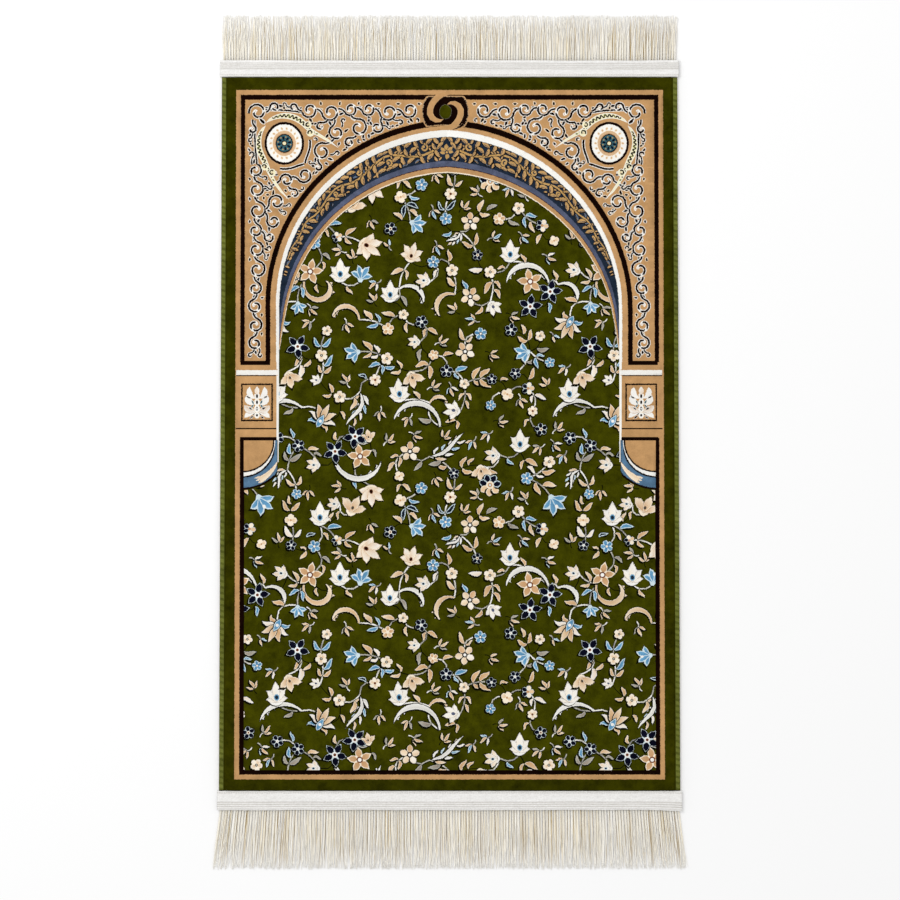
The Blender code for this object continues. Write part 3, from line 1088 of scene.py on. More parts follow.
def draw_arabesque(ch):
    """Gold scrolls on the left half of the dark band: a winding stem with a curl
    in each bend, and leaves by size wherever there is room."""
    centre = ARCH_TOP + 174.9
    end = math.acos(ARCH_OFF / ARCH_RADIUS)

    def gap(u, v):
        t = np.clip((v - 160) / 170, 0, 1)
        dx = np.abs(u - (446.4 + 2.6 * t * t * (3 - 2 * t))) + ARCH_OFF
        over = ARCH_RADIUS - 3.6 - np.hypot(dx, (centre - v) / ARCH_RISE)
        under = np.hypot(dx, (centre + BAND - v) / ARCH_RISE) - ARCH_RADIUS - 2.4
        return np.minimum(over, under)

    def spot(a, off):
        return (axis_u(160) - ARCH_RADIUS * math.cos(a) + ARCH_OFF,
                centre - ARCH_RISE * ARCH_RADIUS * math.sin(a) + BAND / 2 + off + 0.3)

    gu, gv = np.meshgrid(np.arange(266, 446, 0.7), np.arange(134, 330, 0.7))
    gu, gv = gu.ravel(), gv.ravel()
    room = gap(gu, gv)
    keep = (room > 0.3) & (np.hypot(gu - 446, gv - 152) > 8.5)
    gu, gv, room = gu[keep], gv[keep], room[keep]
    a, turn, path, curls = end - 0.05, 0.0, [], []
    while a > 0.30:
        wide = BAND * math.sin(a) * 0.86 - 6.4
        if wide < 3.0:
            break
        path.append(spot(a, 0.27 * wide * math.sin(turn)))
        if len(path) % 6 == 3:
            side = 1 if math.sin(turn) > 0 else -1
            curls.append((*spot(a - 0.006, -side * 0.13 * wide), 0.22 * wide, side))
        a -= (0.30 * wide + 0.6) / ARCH_RADIUS
        turn += math.pi / 6 * 1.02
    for u, v, r, side in curls:
        room = np.minimum(room, np.hypot(gu - u, gv - v) - r * 1.15)
    for p in path:
        room = np.minimum(room, np.hypot(gu - p[0], gv - p[1]) - 1.0)
    for i in range(len(path) - 1):
        room = np.minimum(room, np.hypot(gu - (path[i][0] + path[i + 1][0]) / 2,
                                         gv - (path[i][1] + path[i + 1][1]) / 2) - 1.0)
    band(ch, path, lambda t: 1.0 - 0.45 * t, "gold", edge="ink", margin=(0.4, 0.4))
    for u, v, r, side in curls:
        cuts = 9
        lean = 90 if side > 0 else -90
        curl = [turned(u, v, lean - side * 330 * i / cuts, r * (1 - 0.7 * i / cuts))
                for i in range(cuts + 1)]
        band(ch, curl, lambda t: (0.9 - 0.2 * t) * min(1, r / 3.5), "gold",
             edge="ink", margin=(0.4, 0.3))
        disc(ch, *curl[-1], min(1.5, r * 0.4), "gold", count=7, edge="deep")
    for count in range(420):
        fit = np.minimum(room, 3.3)
        k = int(np.argmax(fit))
        r = float(fit[k])
        if r < 0.95:
            break
        u, v = float(gu[k]), float(gv[k])
        room = np.minimum(room, np.hypot(gu - u, gv - v) - r * 1.16)
        along = math.degrees(math.atan2(446 - u, max(1.0, 310 - v)))
        head = 90 - along + (38 if count % 2 else -38)
        places = (0, 0.3, 0.7, 1) if r < 1.7 else (0, 0.2, 0.5, 0.8, 1)
        teal = count % 5 == 3 and r < 2.6
        band(ch, swept(*turned(u, v, head, -1.5 * r), *turned(u, v, head, 1.5 * r),
                       0.3 * r, 0, places=places),
             leaf_half((0.42 if teal else 0.56) * r, 0.5, 0.7),
             shaded("steel", "slate") if teal else
             shaded("gold", "sand", "gold"), edge="ink",
             margin=(0.62, 0.7), places=places)
        if r > 2.0:
            band(ch, [turned(u, v, head, -1.1 * r), turned(u, v, head, 0),
                      turned(u, v, head, 0.5 * r)], 0.3, "deep", edge="gold",
                 margin=(0.15, 0), level=0)


def line(apex):
    """Edge of an inner stripe, given at the apex; it runs out towards the foot."""
    return lambda t: (apex * (0.10 + 0.90 * math.sqrt(t)) - 0.6
                      - 1.7 * (1 - t) * min(1.0, t / 0.10) + 0.6 * t)


def draw_arch(ch):
    left, right = arch_line(-1), arch_line(1)
    top = 88.0
    for side, path in ((-1, left), (1, right)):
        # tan ground outside the arch, dark band inside it
        edge = 449 + side * 214
        rails(ch, path, [(edge, q) for _, q in path], "tan")
        slab(ch, min(edge, 449), top, max(edge, 449), ARCH_TOP, "tan")
        upper, low = arch_line(side, 0, 330), arch_line(side, BAND, 330 + BAND)
        rails(ch, upper, low, "deep", 0)
        low = arch_line(side, BAND, 350)
        rails(ch, low, beside(low, side, line(1.4)), "deep", 0)

    half = Chart()
    draw_spandrel(half)
    half.copy_to(ch, lambda u, v: (u, v))
    half.copy_to(ch, mirror)

    half = Chart()
    draw_arabesque(half)
    half.copy_to(ch, lambda u, v: (u, v))
    half.copy_to(ch, mirror)
    cu, cv = axis_u(140), 152.0
    for angle, reach, width in ((90, 8.5, 2.2), (40, 8, 1.7), (140, 8, 1.7),
                                (-90, 7, 2.0), (0, 7, 1.5), (180, 7, 1.5)):
        tip = turned(cu, cv, angle, reach)
        band(ch, swept(cu, cv, *tip, 0.5, 5), leaf_half(width, 0.55, 0.6), "gold",
             edge="deep")
    disc(ch, cu, cv, 2.2, "deep", count=9, level=0)
    disc(ch, cu, cv, 1.2, "gold", count=7)

    for side, path in ((-1, left), (1, right)):
        low = arch_line(side, BAND, foot=350)

        inner = ((2.8, "deep"), (1.6, "slate"), (-4.0, "maroon"), (-4.8, "tan"),
                 (-9.4, "cream"), (-10.5, "shade"), (-11.2, None))
        for (one, colour), (two, _) in zip(inner[1:], inner[2:]):
            rails(ch, beside(low, side, line(one)), beside(low, side, line(two)), colour)
        for (_, a), (place, b) in zip(inner, inner[1:-1]):
            seam(ch, low, side, line(place), a, b, 0.35)
        # outer bands: dark, tan, white, then the arabesque
        outer = ((12.0, 12.8, "ink"), (7.4, 6.7, "tan"), (1.4, 2.4, "white"),
                 (-1.0, -4.4, None))
        lines = stripes(ch, path, side, outer)
        seam(ch, path, side, lines[0], "tan", "ink")
        seam(ch, path, side, lines[1], "ink", "tan")
        seam(ch, path, side, lines[2], "tan", "white")
        above = next(i for i, p in enumerate(path) if p[1] < 318)
        cut = above / (len(path) - 1)
        seam(ch, path[above:], side, lambda t: lines[3](cut + (1 - cut) * t), "white",
             "deep", 0.5)

    # borders: stripes along the sides and the ends, painted last
    for u0, u1, f0, f1, colour, level in (
            (216, 236, 214, 234.4, "border", 0), (236, 240.6, 234.4, 239.2, "tan", 1),
            (240.6, 244.9, 239.2, 243.8, "ink", 0),
            (662.4, 684, 665.4, 686, "border", 0), (657.8, 662.4, 660.8, 665.4, "tan", 1),
            (653.4, 657.8, 656.4, 660.8, "ink", 0)):
        slab(ch, u0, 60, u1, 806, colour, level, (f0, f1))
    for u, f, a, b in ((236, 234.4, "border", "tan"), (240.6, 239.2, "tan", "ink"),
                       (662.4, 665.4, "tan", "border"), (657.8, 660.8, "ink", "tan")):
        rails(ch, [(u - 0.6, 60), (f - 0.6, 806)], [(u + 0.6, 60), (f + 0.6, 806)], b, 0,
              (-0.6, 0.6), a)
    for u, f, a, b in ((244.9, 243.8, "ink", "tan"), (653.4, 656.4, "tan", "ink")):
        run = lambda v: u + (f - u) * (v - 60) / 746
        rails(ch, [(run(98) - 0.6, 98), (run(361) - 0.6, 361)],
              [(run(98) + 0.6, 98), (run(361) + 0.6, 361)], b, 0, (-0.6, 0.6), a)
    for v0, v1 in ((60, 89.6), (779.6, 806)):
        slab(ch, 214, v0, 688, v1, "border", 0)
    slab(ch, 236.0, 89.6, 662.4, 94.4, "tan")
    slab(ch, 240.6, 94.4, 657.6, 99.4, "ink", 0)
    slab(ch, 239.4, 770.4, 660.8, 774.8, "ink", 0)
    slab(ch, 234.6, 774.8, 665.2, 779.6, "tan")
    for v, u0, u1, a, b in ((89.6, 236, 662.4, "border", "tan"),
                            (94.4, 240.6, 657.6, "tan", "ink"),
                            (99.4, 244.9, 653.4, "ink", "tan"),
                            (774.8, 239.4, 660.8, "ink", "tan"),
                            (779.6, 234.6, 665.2, "tan", "border")):
        rails(ch, [(u0, v - 0.6), (u1, v - 0.6)], [(u0, v + 0.6), (u1, v + 0.6)], b, 0,
              (-0.6, 0.6), a)
    half = Chart()
    draw_column(half)
    half.copy_to(ch, lambda u, v: (u, v))
    # the right border stands a little wider at the quarter arch
    reach = lambda u, v: 1.4 * max(0.0, 1 - max(0.0, u - 243.7) / 12) if v > 438.5 else 0
    half.copy_to(ch, lambda u, v: mirror(u - reach(u, v), v))
    draw_knot(ch)


# ------------------------------------------------------------ mesh of the pile
def to_rug(u, v):
    """Chart to rug, in millimetres. Chart units are a little finer at the foot."""
    k = 700.0 / (456 + 6 * (v - 90) / 695)
    t = (v - FRAME_V[0]) / (FRAME_V[1] - FRAME_V[0])
    return ((u - 449.2 - 0.7 * (v - 90) / 695) * k,
            1000 * (PILE_HI - (PILE_HI - PILE_LO) * (t - 0.013 * t * t) / 0.987))


def cross_height(x):
    """Top of the rug across its width: overlocked edge, dip, shoulder, pile."""
    d = HALF - np.abs(x)
    r = HEM_HIGH / 2
    bead = r + np.sqrt(np.clip(r * r - np.clip(r - d, 0, r) ** 2, 0, None))
    bead = np.where(d > 2 * r, HEM_HIGH - (HEM_HIGH - HEM_DIP)
                    * np.clip((d - 2 * r) / (HEM_WIDTH - 2 * r), 0, 1) ** 1.5, bead)
    t = np.clip((d - HEM_WIDTH) / SHOULDER, 0, 1)
    pile = HEM_DIP + (PILE_TOP - HEM_DIP) * np.sqrt(np.clip(1 - (1 - t) ** 2, 0, 1))
    return np.where(d < HEM_WIDTH, bead, pile)


def end_factor(y):
    """Height along the rug as a share: bare weave, step, rounded pile end."""
    d = np.minimum(y - PILE_LO, PILE_HI - y)
    flap = FLAP_THICK / PILE_TOP
    t = np.clip((d - 0.0006) / 0.0024, 0, 1)
    step = flap + (0.92 - flap) * np.clip(d / 0.0006, 0, 1)
    return np.where(d <= 0.0006, step, 0.92 + 0.08 * np.sqrt(1 - (1 - t) ** 2))


def spaced(a, b, step):
    count = max(1, round(abs(b - a) / step))
    return [a + (b - a) * i / count for i in range(count + 1)]


LO = np.array((-1000 * HALF, 1000 * END_LO))       # outline of the sheet, mm
HI = np.array((1000 * HALF, 1000 * END_HI))


class Painted:
    """Every drawn shape as flat triangles, for asking which lies on top where."""

    def __init__(self, shapes):
        self.corner, self.value, self.shape = [], [], []
        self.rim, self.edge, self.level = [], [], []
        self.edges, self.points, self.edge_shape = [], [], []
        rng = random.Random(3)
        for points, faces, rim, rim_width, edge, level in shapes:
            placed = np.clip(np.array([to_rug(p[0], p[1]) for p in points]), LO, HI)
            tone = 1 + rng.uniform(-0.045, 0.045) if level > 0 else 1.0
            values = np.array([(p[2], *(tone * c for c in p[3])) for p in points])
            index = len(self.level)
            first, used = len(self.points), set()
            for f in faces:
                a, b, c = placed[list(f)]
                if abs((b[0] - a[0]) * (c[1] - a[1]) - (c[0] - a[0]) * (b[1] - a[1])) < 1e-5:
                    continue
                self.corner.append(placed[list(f)])
                self.value.append(values[list(f)])
                self.shape.append(index)
                for i in range(3):
                    p, q = f[i], f[(i + 1) % 3]
                    used.add((min(p, q), max(p, q)))
            self.points.extend(map(tuple, placed))
            for p, q in sorted(used):
                self.edges.append((first + p, first + q))
                self.edge_shape.append(index)
            self.rim.append((*(tone * c for c in rim), rim_width))
            self.edge.append(edge)
            self.level.append(level)
        self.corner, self.value = np.array(self.corner), np.array(self.value)
        self.shape = np.array(self.shape)
        self.rim, self.edge = np.array(self.rim), np.array(self.edge)
        self.level = np.array(self.level, float)
        one, two = (self.corner[:, k] - self.corner[:, 0] for k in (1, 2))
        det = one[:, 0] * two[:, 1] - one[:, 1] * two[:, 0]
        # rows that give the shares of the second and third corner at a point
        self.share = np.stack([np.column_stack([two[:, 1], -two[:, 0]]) / det[:, None],
                               np.column_stack([-one[:, 1], one[:, 0]]) / det[:, None]], 1)

    def topmost(self, middle):
        """For each point the drawn triangle on top there, or -1."""
        cell = 5.0
        nx = int((HI[0] - LO[0]) / cell) + 2
        key = (((middle[:, 1] - LO[1]) / cell).astype(int) * nx
               + ((middle[:, 0] - LO[0]) / cell).astype(int))
        order = np.argsort(key, kind="stable")
        starts = np.searchsorted(key[order], np.arange(key.max() + 2))
        found = np.full(len(middle), -1)
        low = self.corner.min(1)
        high = self.corner.max(1)
        begin = 0
        total = len(self.shape)
        while begin < total:
            stop = begin + 1
            while (stop < total and self.shape[stop] == self.shape[begin]
                   and stop - begin < 14):
                stop += 1
            ax, ay = low[begin:stop].min(0)
            bx, by = high[begin:stop].max(0)
            i0, i1 = int((ax - LO[0]) / cell), int((bx - LO[0]) / cell)
            j0, j1 = int((ay - LO[1]) / cell), int((by - LO[1]) / cell)
            if (i1 - i0 + 1) * (j1 - j0 + 1) > 500:
                near = np.nonzero((middle[:, 0] >= ax) & (middle[:, 0] <= bx)
                                  & (middle[:, 1] >= ay) & (middle[:, 1] <= by))[0]
            else:
                parts = []
                for j in range(j0, j1 + 1):
                    a, b = j * nx + i0, j * nx + i1 + 1
                    if a < len(starts):
                        parts.append(order[starts[a]:starts[min(b, len(starts) - 1)]])
                near = np.concatenate(parts) if parts else np.empty(0, int)
            if len(near):
                rel = middle[near][:, None, :] - self.corner[begin:stop, 0][None]
                s1 = (rel * self.share[begin:stop, 0][None]).sum(2)
                s2 = (rel * self.share[begin:stop, 1][None]).sum(2)
                least = np.minimum(np.minimum(s1, s2), 1 - s1 - s2)
                best = least.argmax(1)
                hit = least[np.arange(len(near)), best] > -1e-7
                found[near[hit]] = begin + best[hit]
            begin = stop
        return found


def triangulated(points, edges):
    """Triangles that keep the given edges. Points are first set on a grid of
    0.02 mm. Also gives, for each edge made, the given edges that lie along it."""
    grid = np.round((np.array(points) - LO) * 50).astype(np.int64)
    single, place = np.unique(grid, axis=0, return_inverse=True)
    place = place.ravel()
    groups = {}
    for k, (a, b) in enumerate(edges):
        p, q = int(place[a]), int(place[b])
        if p != q:
            groups.setdefault((min(p, q), max(p, q)), []).append(k)
    pairs = list(groups)
    made = delaunay_2d_cdt([Vector(p) for p in LO + single / 50.0], pairs, [], 0, 0.004)
    flat = np.array([(p[0], p[1]) for p in made[0]])
    origins = [[k for pair in found for k in groups[pairs[pair]]] for found in made[4]]
    tris = np.array([t for t in made[2] if len(t) == 3])
    corner = flat[tris]
    area = 0.5 * ((corner[:, 1, 0] - corner[:, 0, 0]) * (corner[:, 2, 1] - corner[:, 0, 1])
                  - (corner[:, 2, 0] - corner[:, 0, 0]) * (corner[:, 1, 1] - corner[:, 0, 1]))
    flip = area < 0
    tris[flip] = tris[flip][:, ::-1]
    keep = np.abs(area) > 1e-7
    return made, flat, tris[keep], np.abs(area[keep]), origins


def build_pile():
    chart = Chart()
    draw_field(chart)
    draw_arch(chart)
    # threads of the overlocked edges: a lighter green strip and lighter slanting threads,
    # partly the threads' own colour and partly a painted highlight along the rounded edge
    for u0, u1, f0, f1 in ((221.4, 225.8, 219.1, 223.6), (672.6, 677.1, 676.2, 680.8)):
        cuts = 24
        rails(chart, [(u0 + (f0 - u0) * i / cuts, 77 + 713 * i / cuts)
                      for i in range(cuts + 1)],
              [(u1 + (f1 - u1) * i / cuts, 77 + 713 * i / cuts)
               for i in range(cuts + 1)], "seam", 0)
        cuts = 120
        for i in range(cuts):
            a, b = i / cuts, (i + 0.6) / cuts
            v0, v1 = 77 + 713 * a, 77 + 713 * b
            rails(chart, [(u0 + 0.3 + (f0 - u0) * a, v0), (u0 + 0.3 + (f0 - u0) * b, v1)],
                  [(u1 - 0.3 + (f1 - u1) * a, v0 + 1.1),
                   (u1 - 0.3 + (f1 - u1) * b, v1 + 1.1)], "hem_thread_highlight", 0)
    painted = Painted(chart.shapes)

    # frame of the sheet, lines that carry its edge roundings, and a plain grid
    frame_points, frame_edges = [], []

    def chain(points, closed):
        first = len(frame_points)
        frame_points.extend(points)
        frame_edges.extend((i, i + 1) for i in range(first, first + len(points) - 1))
        if closed:
            frame_edges.append((first + len(points) - 1, first))

    chain([(x, LO[1]) for x in spaced(LO[0], HI[0], 9)][:-1]
          + [(HI[0], y) for y in spaced(LO[1], HI[1], 9)][:-1]
          + [(x, HI[1]) for x in spaced(HI[0], LO[0], 9)][:-1]
          + [(LO[0], y) for y in spaced(HI[1], LO[1], 9)][:-1], True)
    for d in (0.25, 0.8, 1.7, 2.8, 4.4, 5.6, 7.0, 8.0, 8.3, 9.0, 10.2, 12.0):
        for side in (-1, 1):
            x = side * (1000 * HALF - d)
            chain([(x, y) for y in spaced(LO[1], HI[1], 30)], False)
    for d in (0.0, 0.6, 1.0, 1.7, 3.0):
        for y in (1000 * PILE_LO + d, 1000 * PILE_HI - d):
            chain([(x, y) for x in spaced(LO[0], HI[0], 30)], False)
    step = 18.0
    for i, x in enumerate(spaced(LO[0] + 14, HI[0] - 14, step)):
        for y in spaced(LO[1] + 24, HI[1] - 24, step):
            frame_points.append((x, y + (step / 2 if i % 2 else 0)))

    # first pass: every line; then only the lines that show are kept
    shift = len(frame_points)
    made, flat, tris, area, along = triangulated(
        frame_points + painted.points,
        frame_edges + [(a + shift, b + shift) for a, b in painted.edges])
    top = painted.topmost(flat[tris].mean(axis=1))
    owner = np.where(top >= 0, painted.shape[top], -1)
    size = len(flat)
    half_edges = np.concatenate([tris[:, [0, 1]], tris[:, [1, 2]], tris[:, [2, 0]]])
    half_owner = np.tile(owner, 3)
    code = half_edges.min(1).astype(np.int64) * size + half_edges.max(1)
    order = np.argsort(code, kind="stable")
    code, half_owner = code[order], half_owner[order]
    lines = np.array(made[1])
    line_code = lines.min(1).astype(np.int64) * size + lines.max(1)
    at = np.searchsorted(code, line_code)
    kept, source = [], []
    for k, origins in enumerate(along):
        if not origins:
            continue
        i = at[k]
        if i >= len(code) or code[i] != line_code[k]:
            continue
        one = half_owner[i]
        two = half_owner[i + 1] if i + 1 < len(code) and code[i + 1] == line_code[k] else -2
        own = [o - len(frame_edges) for o in origins]
        if any(o < 0 for o in own) or one != two or any(
                painted.edge_shape[o] == one for o in own):
            kept.append((int(lines[k][0]), int(lines[k][1])))
            source.append(frozenset(origins))
    # joins pieces of one straight line where a hidden line used to cross it
    links = {}
    for k, (a, b) in enumerate(kept):
        links.setdefault(a, []).append(k)
        links.setdefault(b, []).append(k)
    alive = [True] * len(kept)
    for p in list(links):
        if made[3][p] or len(links[p]) != 2:
            continue
        i, j = links[p]
        if not (source[i] & source[j]):
            continue
        a = kept[i][0] if kept[i][1] == p else kept[i][1]
        b = kept[j][0] if kept[j][1] == p else kept[j][1]
        if a == b:
            continue
        kept[i] = (a, b)
        source[i] = source[i] & source[j]
        alive[j] = False
        links[b] = [i if k == j else k for k in links[b]]
        links[p] = []
    kept = [e for e, on in zip(kept, alive) if on]
    used = sorted({p for e in kept for p in e})
    place = {p: i for i, p in enumerate(used)}
    points2 = [tuple(flat[p]) for p in used] + frame_points
    made, points, tris, area, along = triangulated(
        points2, [(place[a], place[b]) for a, b in kept])
    corner = points[tris]
    top = painted.topmost(corner.mean(axis=1))
    hit = top >= 0

    # depth and yarn at each corner, from the drawn triangle on top
    values = np.empty((len(tris), 3, 4))
    values[:] = (9.0, *YARN["ground"])
    t = top[hit]
    rel = corner[hit] - painted.corner[t, 0][:, None, :]
    s1 = (rel * painted.share[t, 0][:, None, :]).sum(2)[..., None]
    s2 = (rel * painted.share[t, 1][:, None, :]).sum(2)[..., None]
    v = painted.value[t]
    values[hit] = v[:, None, 0] * (1 - s1 - s2) + v[:, None, 1] * s1 + v[:, None, 2] * s2
    values[..., 1:] = np.clip(values[..., 1:], 0, 1)
    values[..., 0] = np.clip(values[..., 0], -2.5, 9.0)
    shape = painted.shape[top]
    rim = np.zeros((len(tris), 4))
    rim[hit] = painted.rim[shape[hit]]
    edge = np.zeros((len(tris), 3))
    edge[:] = YARN["ground"]
    edge[hit] = painted.edge[shape[hit]]
    level = np.where(hit, painted.level[shape], 0.0)

    # height: rug section, plus a slight rise of each figure above the ground
    total, weight = np.zeros(len(points)), np.zeros(len(points)) + 1e-9
    for k in range(3):
        rise = level * np.clip(values[:, k, 0], -0.4, 0.9)
        np.add.at(total, tris[:, k], rise * area)
        np.add.at(weight, tris[:, k], area)
    x, y = points[:, 0] / 1000, points[:, 1] / 1000
    factor = end_factor(y)
    z = cross_height(x) * factor
    inner = (HALF - np.abs(x) > HEM_WIDTH + 0.002) & (factor > 0.9)
    z = z + np.where(inner, total / weight * 0.00022 - 0.00004, 0.0)
    z += np.where(inner, 0.00012 * np.sin(61 * x + 1.3) * np.sin(43 * y), 0.0)
    crease = np.exp(-((x + 0.002) / 0.004) ** 2)
    z -= np.where(inner, 0.00030 * crease, 0.0)

    # underside: the same outline, closed on the floor
    eps = 1e-3
    on_rim = ((np.abs(points[:, 0] - LO[0]) < eps) | (np.abs(points[:, 0] - HI[0]) < eps)
              | (np.abs(points[:, 1] - LO[1]) < eps) | (np.abs(points[:, 1] - HI[1]) < eps))
    used = np.zeros(len(points), bool)
    used[tris] = True
    rim_ids = np.nonzero(on_rim & used)[0]
    angle = []
    for i in rim_ids:
        px, py = points[i]
        if abs(py - LO[1]) < eps and px < HI[0] - eps:
            angle.append((0, px))
        elif abs(px - HI[0]) < eps and py < HI[1] - eps:
            angle.append((1, py))
        elif abs(py - HI[1]) < eps and px > LO[0] + eps:
            angle.append((2, -px))
        else:
            angle.append((3, -py))
    ring = [int(i) for _, i in sorted(zip(angle, rim_ids))]
    below = [tuple(points[i]) for i in ring]
    ring_edges = [(i, (i + 1) % len(ring)) for i in range(len(ring))]
    for side in (-1, 1):
        for d in (0.3, 1.0, 2.0, 2.8, 12.0):
            px = side * (1000 * HALF - d)
            below += [(px, py) for py in spaced(LO[1] + 4, HI[1] - 4, 18)]
    for px in spaced(LO[0] + 30, HI[0] - 30, 30):
        below += [(px, py) for py in spaced(LO[1] + 5, HI[1] - 5, 30)]
    under = delaunay_2d_cdt([Vector(p) for p in below], ring_edges, [], 0, 1e-5)
    under_points = np.array([(p[0], p[1]) for p in under[0]])
    same = {}
    for new, olds in enumerate(under[3]):
        for old in olds:
            if old < len(ring):
                same[new] = ring[old]
    count = len(points)
    remap, extra = {}, []
    for i, p in enumerate(under_points):
        if i in same:
            remap[i] = same[i]
        else:
            remap[i] = count + len(extra)
            extra.append(p)
    low = []
    for t in under[2]:
        if len(t) != 3:
            continue
        a, b, c = (under_points[i] for i in t)
        turn = (b[0] - a[0]) * (c[1] - a[1]) - (c[0] - a[0]) * (b[1] - a[1])
        if abs(turn) < 1e-6:
            continue
        ids = [remap[i] for i in t]
        low.append(ids[::-1] if turn > 0 else ids)
    extra = np.array(extra)
    ex, ey = extra[:, 0] / 1000, extra[:, 1] / 1000
    r = HEM_HIGH / 2
    ez = (r - np.sqrt(np.clip(r * r - np.clip(np.abs(ex) - (HALF - r), 0, r) ** 2, 0,
                              None))) * end_factor(ey)
    z = np.where(on_rim, np.where(np.abs(x) > HALF - 1e-6, r, FLAP_THICK / 2)
                 * np.where(np.abs(x) > HALF - 1e-6, factor, 1.0), z)
    coords = np.vstack([np.column_stack([x, y, z]), np.column_stack([ex, ey, ez])])
    faces = np.vstack([tris, np.array(low)])

    # drop loose points
    used = np.zeros(len(coords), bool)
    used[faces] = True
    renumber = np.cumsum(used) - 1
    coords, faces = coords[used], renumber[faces]

    mesh = bpy.data.meshes.new("rug_pile")
    mesh.vertices.add(len(coords))
    mesh.vertices.foreach_set("co", coords.astype(np.float32).ravel())
    mesh.loops.add(len(faces) * 3)
    mesh.loops.foreach_set("vertex_index", faces.astype(np.int32).ravel())
    mesh.polygons.add(len(faces))
    mesh.polygons.foreach_set("loop_start", np.arange(0, len(faces) * 3, 3, dtype=np.int32))
    mesh.update(calc_edges=True)
    mesh.validate()
    n = len(tris)
    backing = np.array(linear((176, 162, 130)))

    def corner_colours(name, top_values, low_value):
        data = np.empty((len(faces) * 3, 4), np.float32)
        data[:n * 3] = top_values
        data[n * 3:] = low_value
        paint = mesh.color_attributes.new(name, "FLOAT_COLOR", "CORNER")
        paint.data.foreach_set("color", data.ravel())

    yarn = np.ones((n * 3, 4))
    yarn[:, :3] = values[..., 1:].reshape(-1, 3)
    edges = np.ones((n, 4))
    edges[:, :3] = edge
    corner_colours("Colour", yarn, (*backing, 1))
    corner_colours("Rim", np.repeat(rim, 3, 0), (*backing, 0))
    corner_colours("Edge", np.repeat(edges, 3, 0), (*backing, 1))
    depth = mesh.attributes.new("Depth", "FLOAT", "CORNER")
    data = np.full(len(faces) * 3, 9.0, np.float32)
    data[:n * 3] = values[..., 0].ravel()
    depth.data.foreach_set("value", data)
    kind = mesh.attributes.new("Backing", "FLOAT", "FACE")
    flags = np.zeros(len(faces), np.float32)
    flags[n:] = 1.0
    kind.data.foreach_set("value", flags)
    uv = mesh.uv_layers.new(name="OFBake")
    loop_xy = coords[faces.ravel()][:, :2]
    uu = (loop_xy[:, 0] + HALF) / (2 * HALF) * 0.996 + 0.002
    vv = (loop_xy[:, 1] - END_LO) / (END_HI - END_LO)
    vv = np.where(np.arange(len(uu)) < n * 3, vv * 0.925 + 0.002, vv * 0.065 + 0.932)
    uv.data.foreach_set("uv", np.column_stack([uu, vv]).astype(np.float32).ravel())
    obj = bpy.data.objects.new("rug_pile", mesh)
    bpy.context.scene.collection.objects.link(obj)
    print("pile", len(chart.shapes), "shapes", len(faces), "faces")
    return obj


# -------------------------------------------------------------------- materials
def new_material(name):
    mat = bpy.data.materials.new(name)
    mat.use_nodes = True
    tree = mat.node_tree
    return mat, tree, tree.nodes["Principled BSDF"]


def node(tree, kind, **values):
    made = tree.nodes.new(kind)
    for key, value in values.items():
        if key.startswith("in_"):
            made.inputs[key[3:].replace("_", " ")].default_value = value
        else:
            setattr(made, key, value)
    return made


def maths(tree, operation, a, b=None, clamp=False):
    made = tree.nodes.new("ShaderNodeMath")
    made.operation = operation
    made.use_clamp = clamp
    for i, value in enumerate((a, b)):
        if value is None:
            continue
        if isinstance(value, (int, float)):
            made.inputs[i].default_value = value
        else:
            tree.links.new(value, made.inputs[i])
    return made.outputs[0]


def scaled(tree, colour, value):
    """Colour times a number from a texture."""
    made = tree.nodes.new("ShaderNodeVectorMath")
    made.operation = "SCALE"
    tree.links.new(colour, made.inputs[0])
    tree.links.new(value, made.inputs["Scale"])
    return made.outputs[0]


def mixed(tree, share, a, b, kind="RGBA"):
    made = node(tree, "ShaderNodeMix", data_type=kind)
    first = 6 if kind == "RGBA" else 2
    tree.links.new(share, made.inputs[0])
    for slot, value in ((first, a), (first + 1, b)):
        if isinstance(value, (int, float)):
            made.inputs[slot].default_value = value
        else:
            tree.links.new(value, made.inputs[slot])
    return made.outputs[2 if kind == "RGBA" else 0]


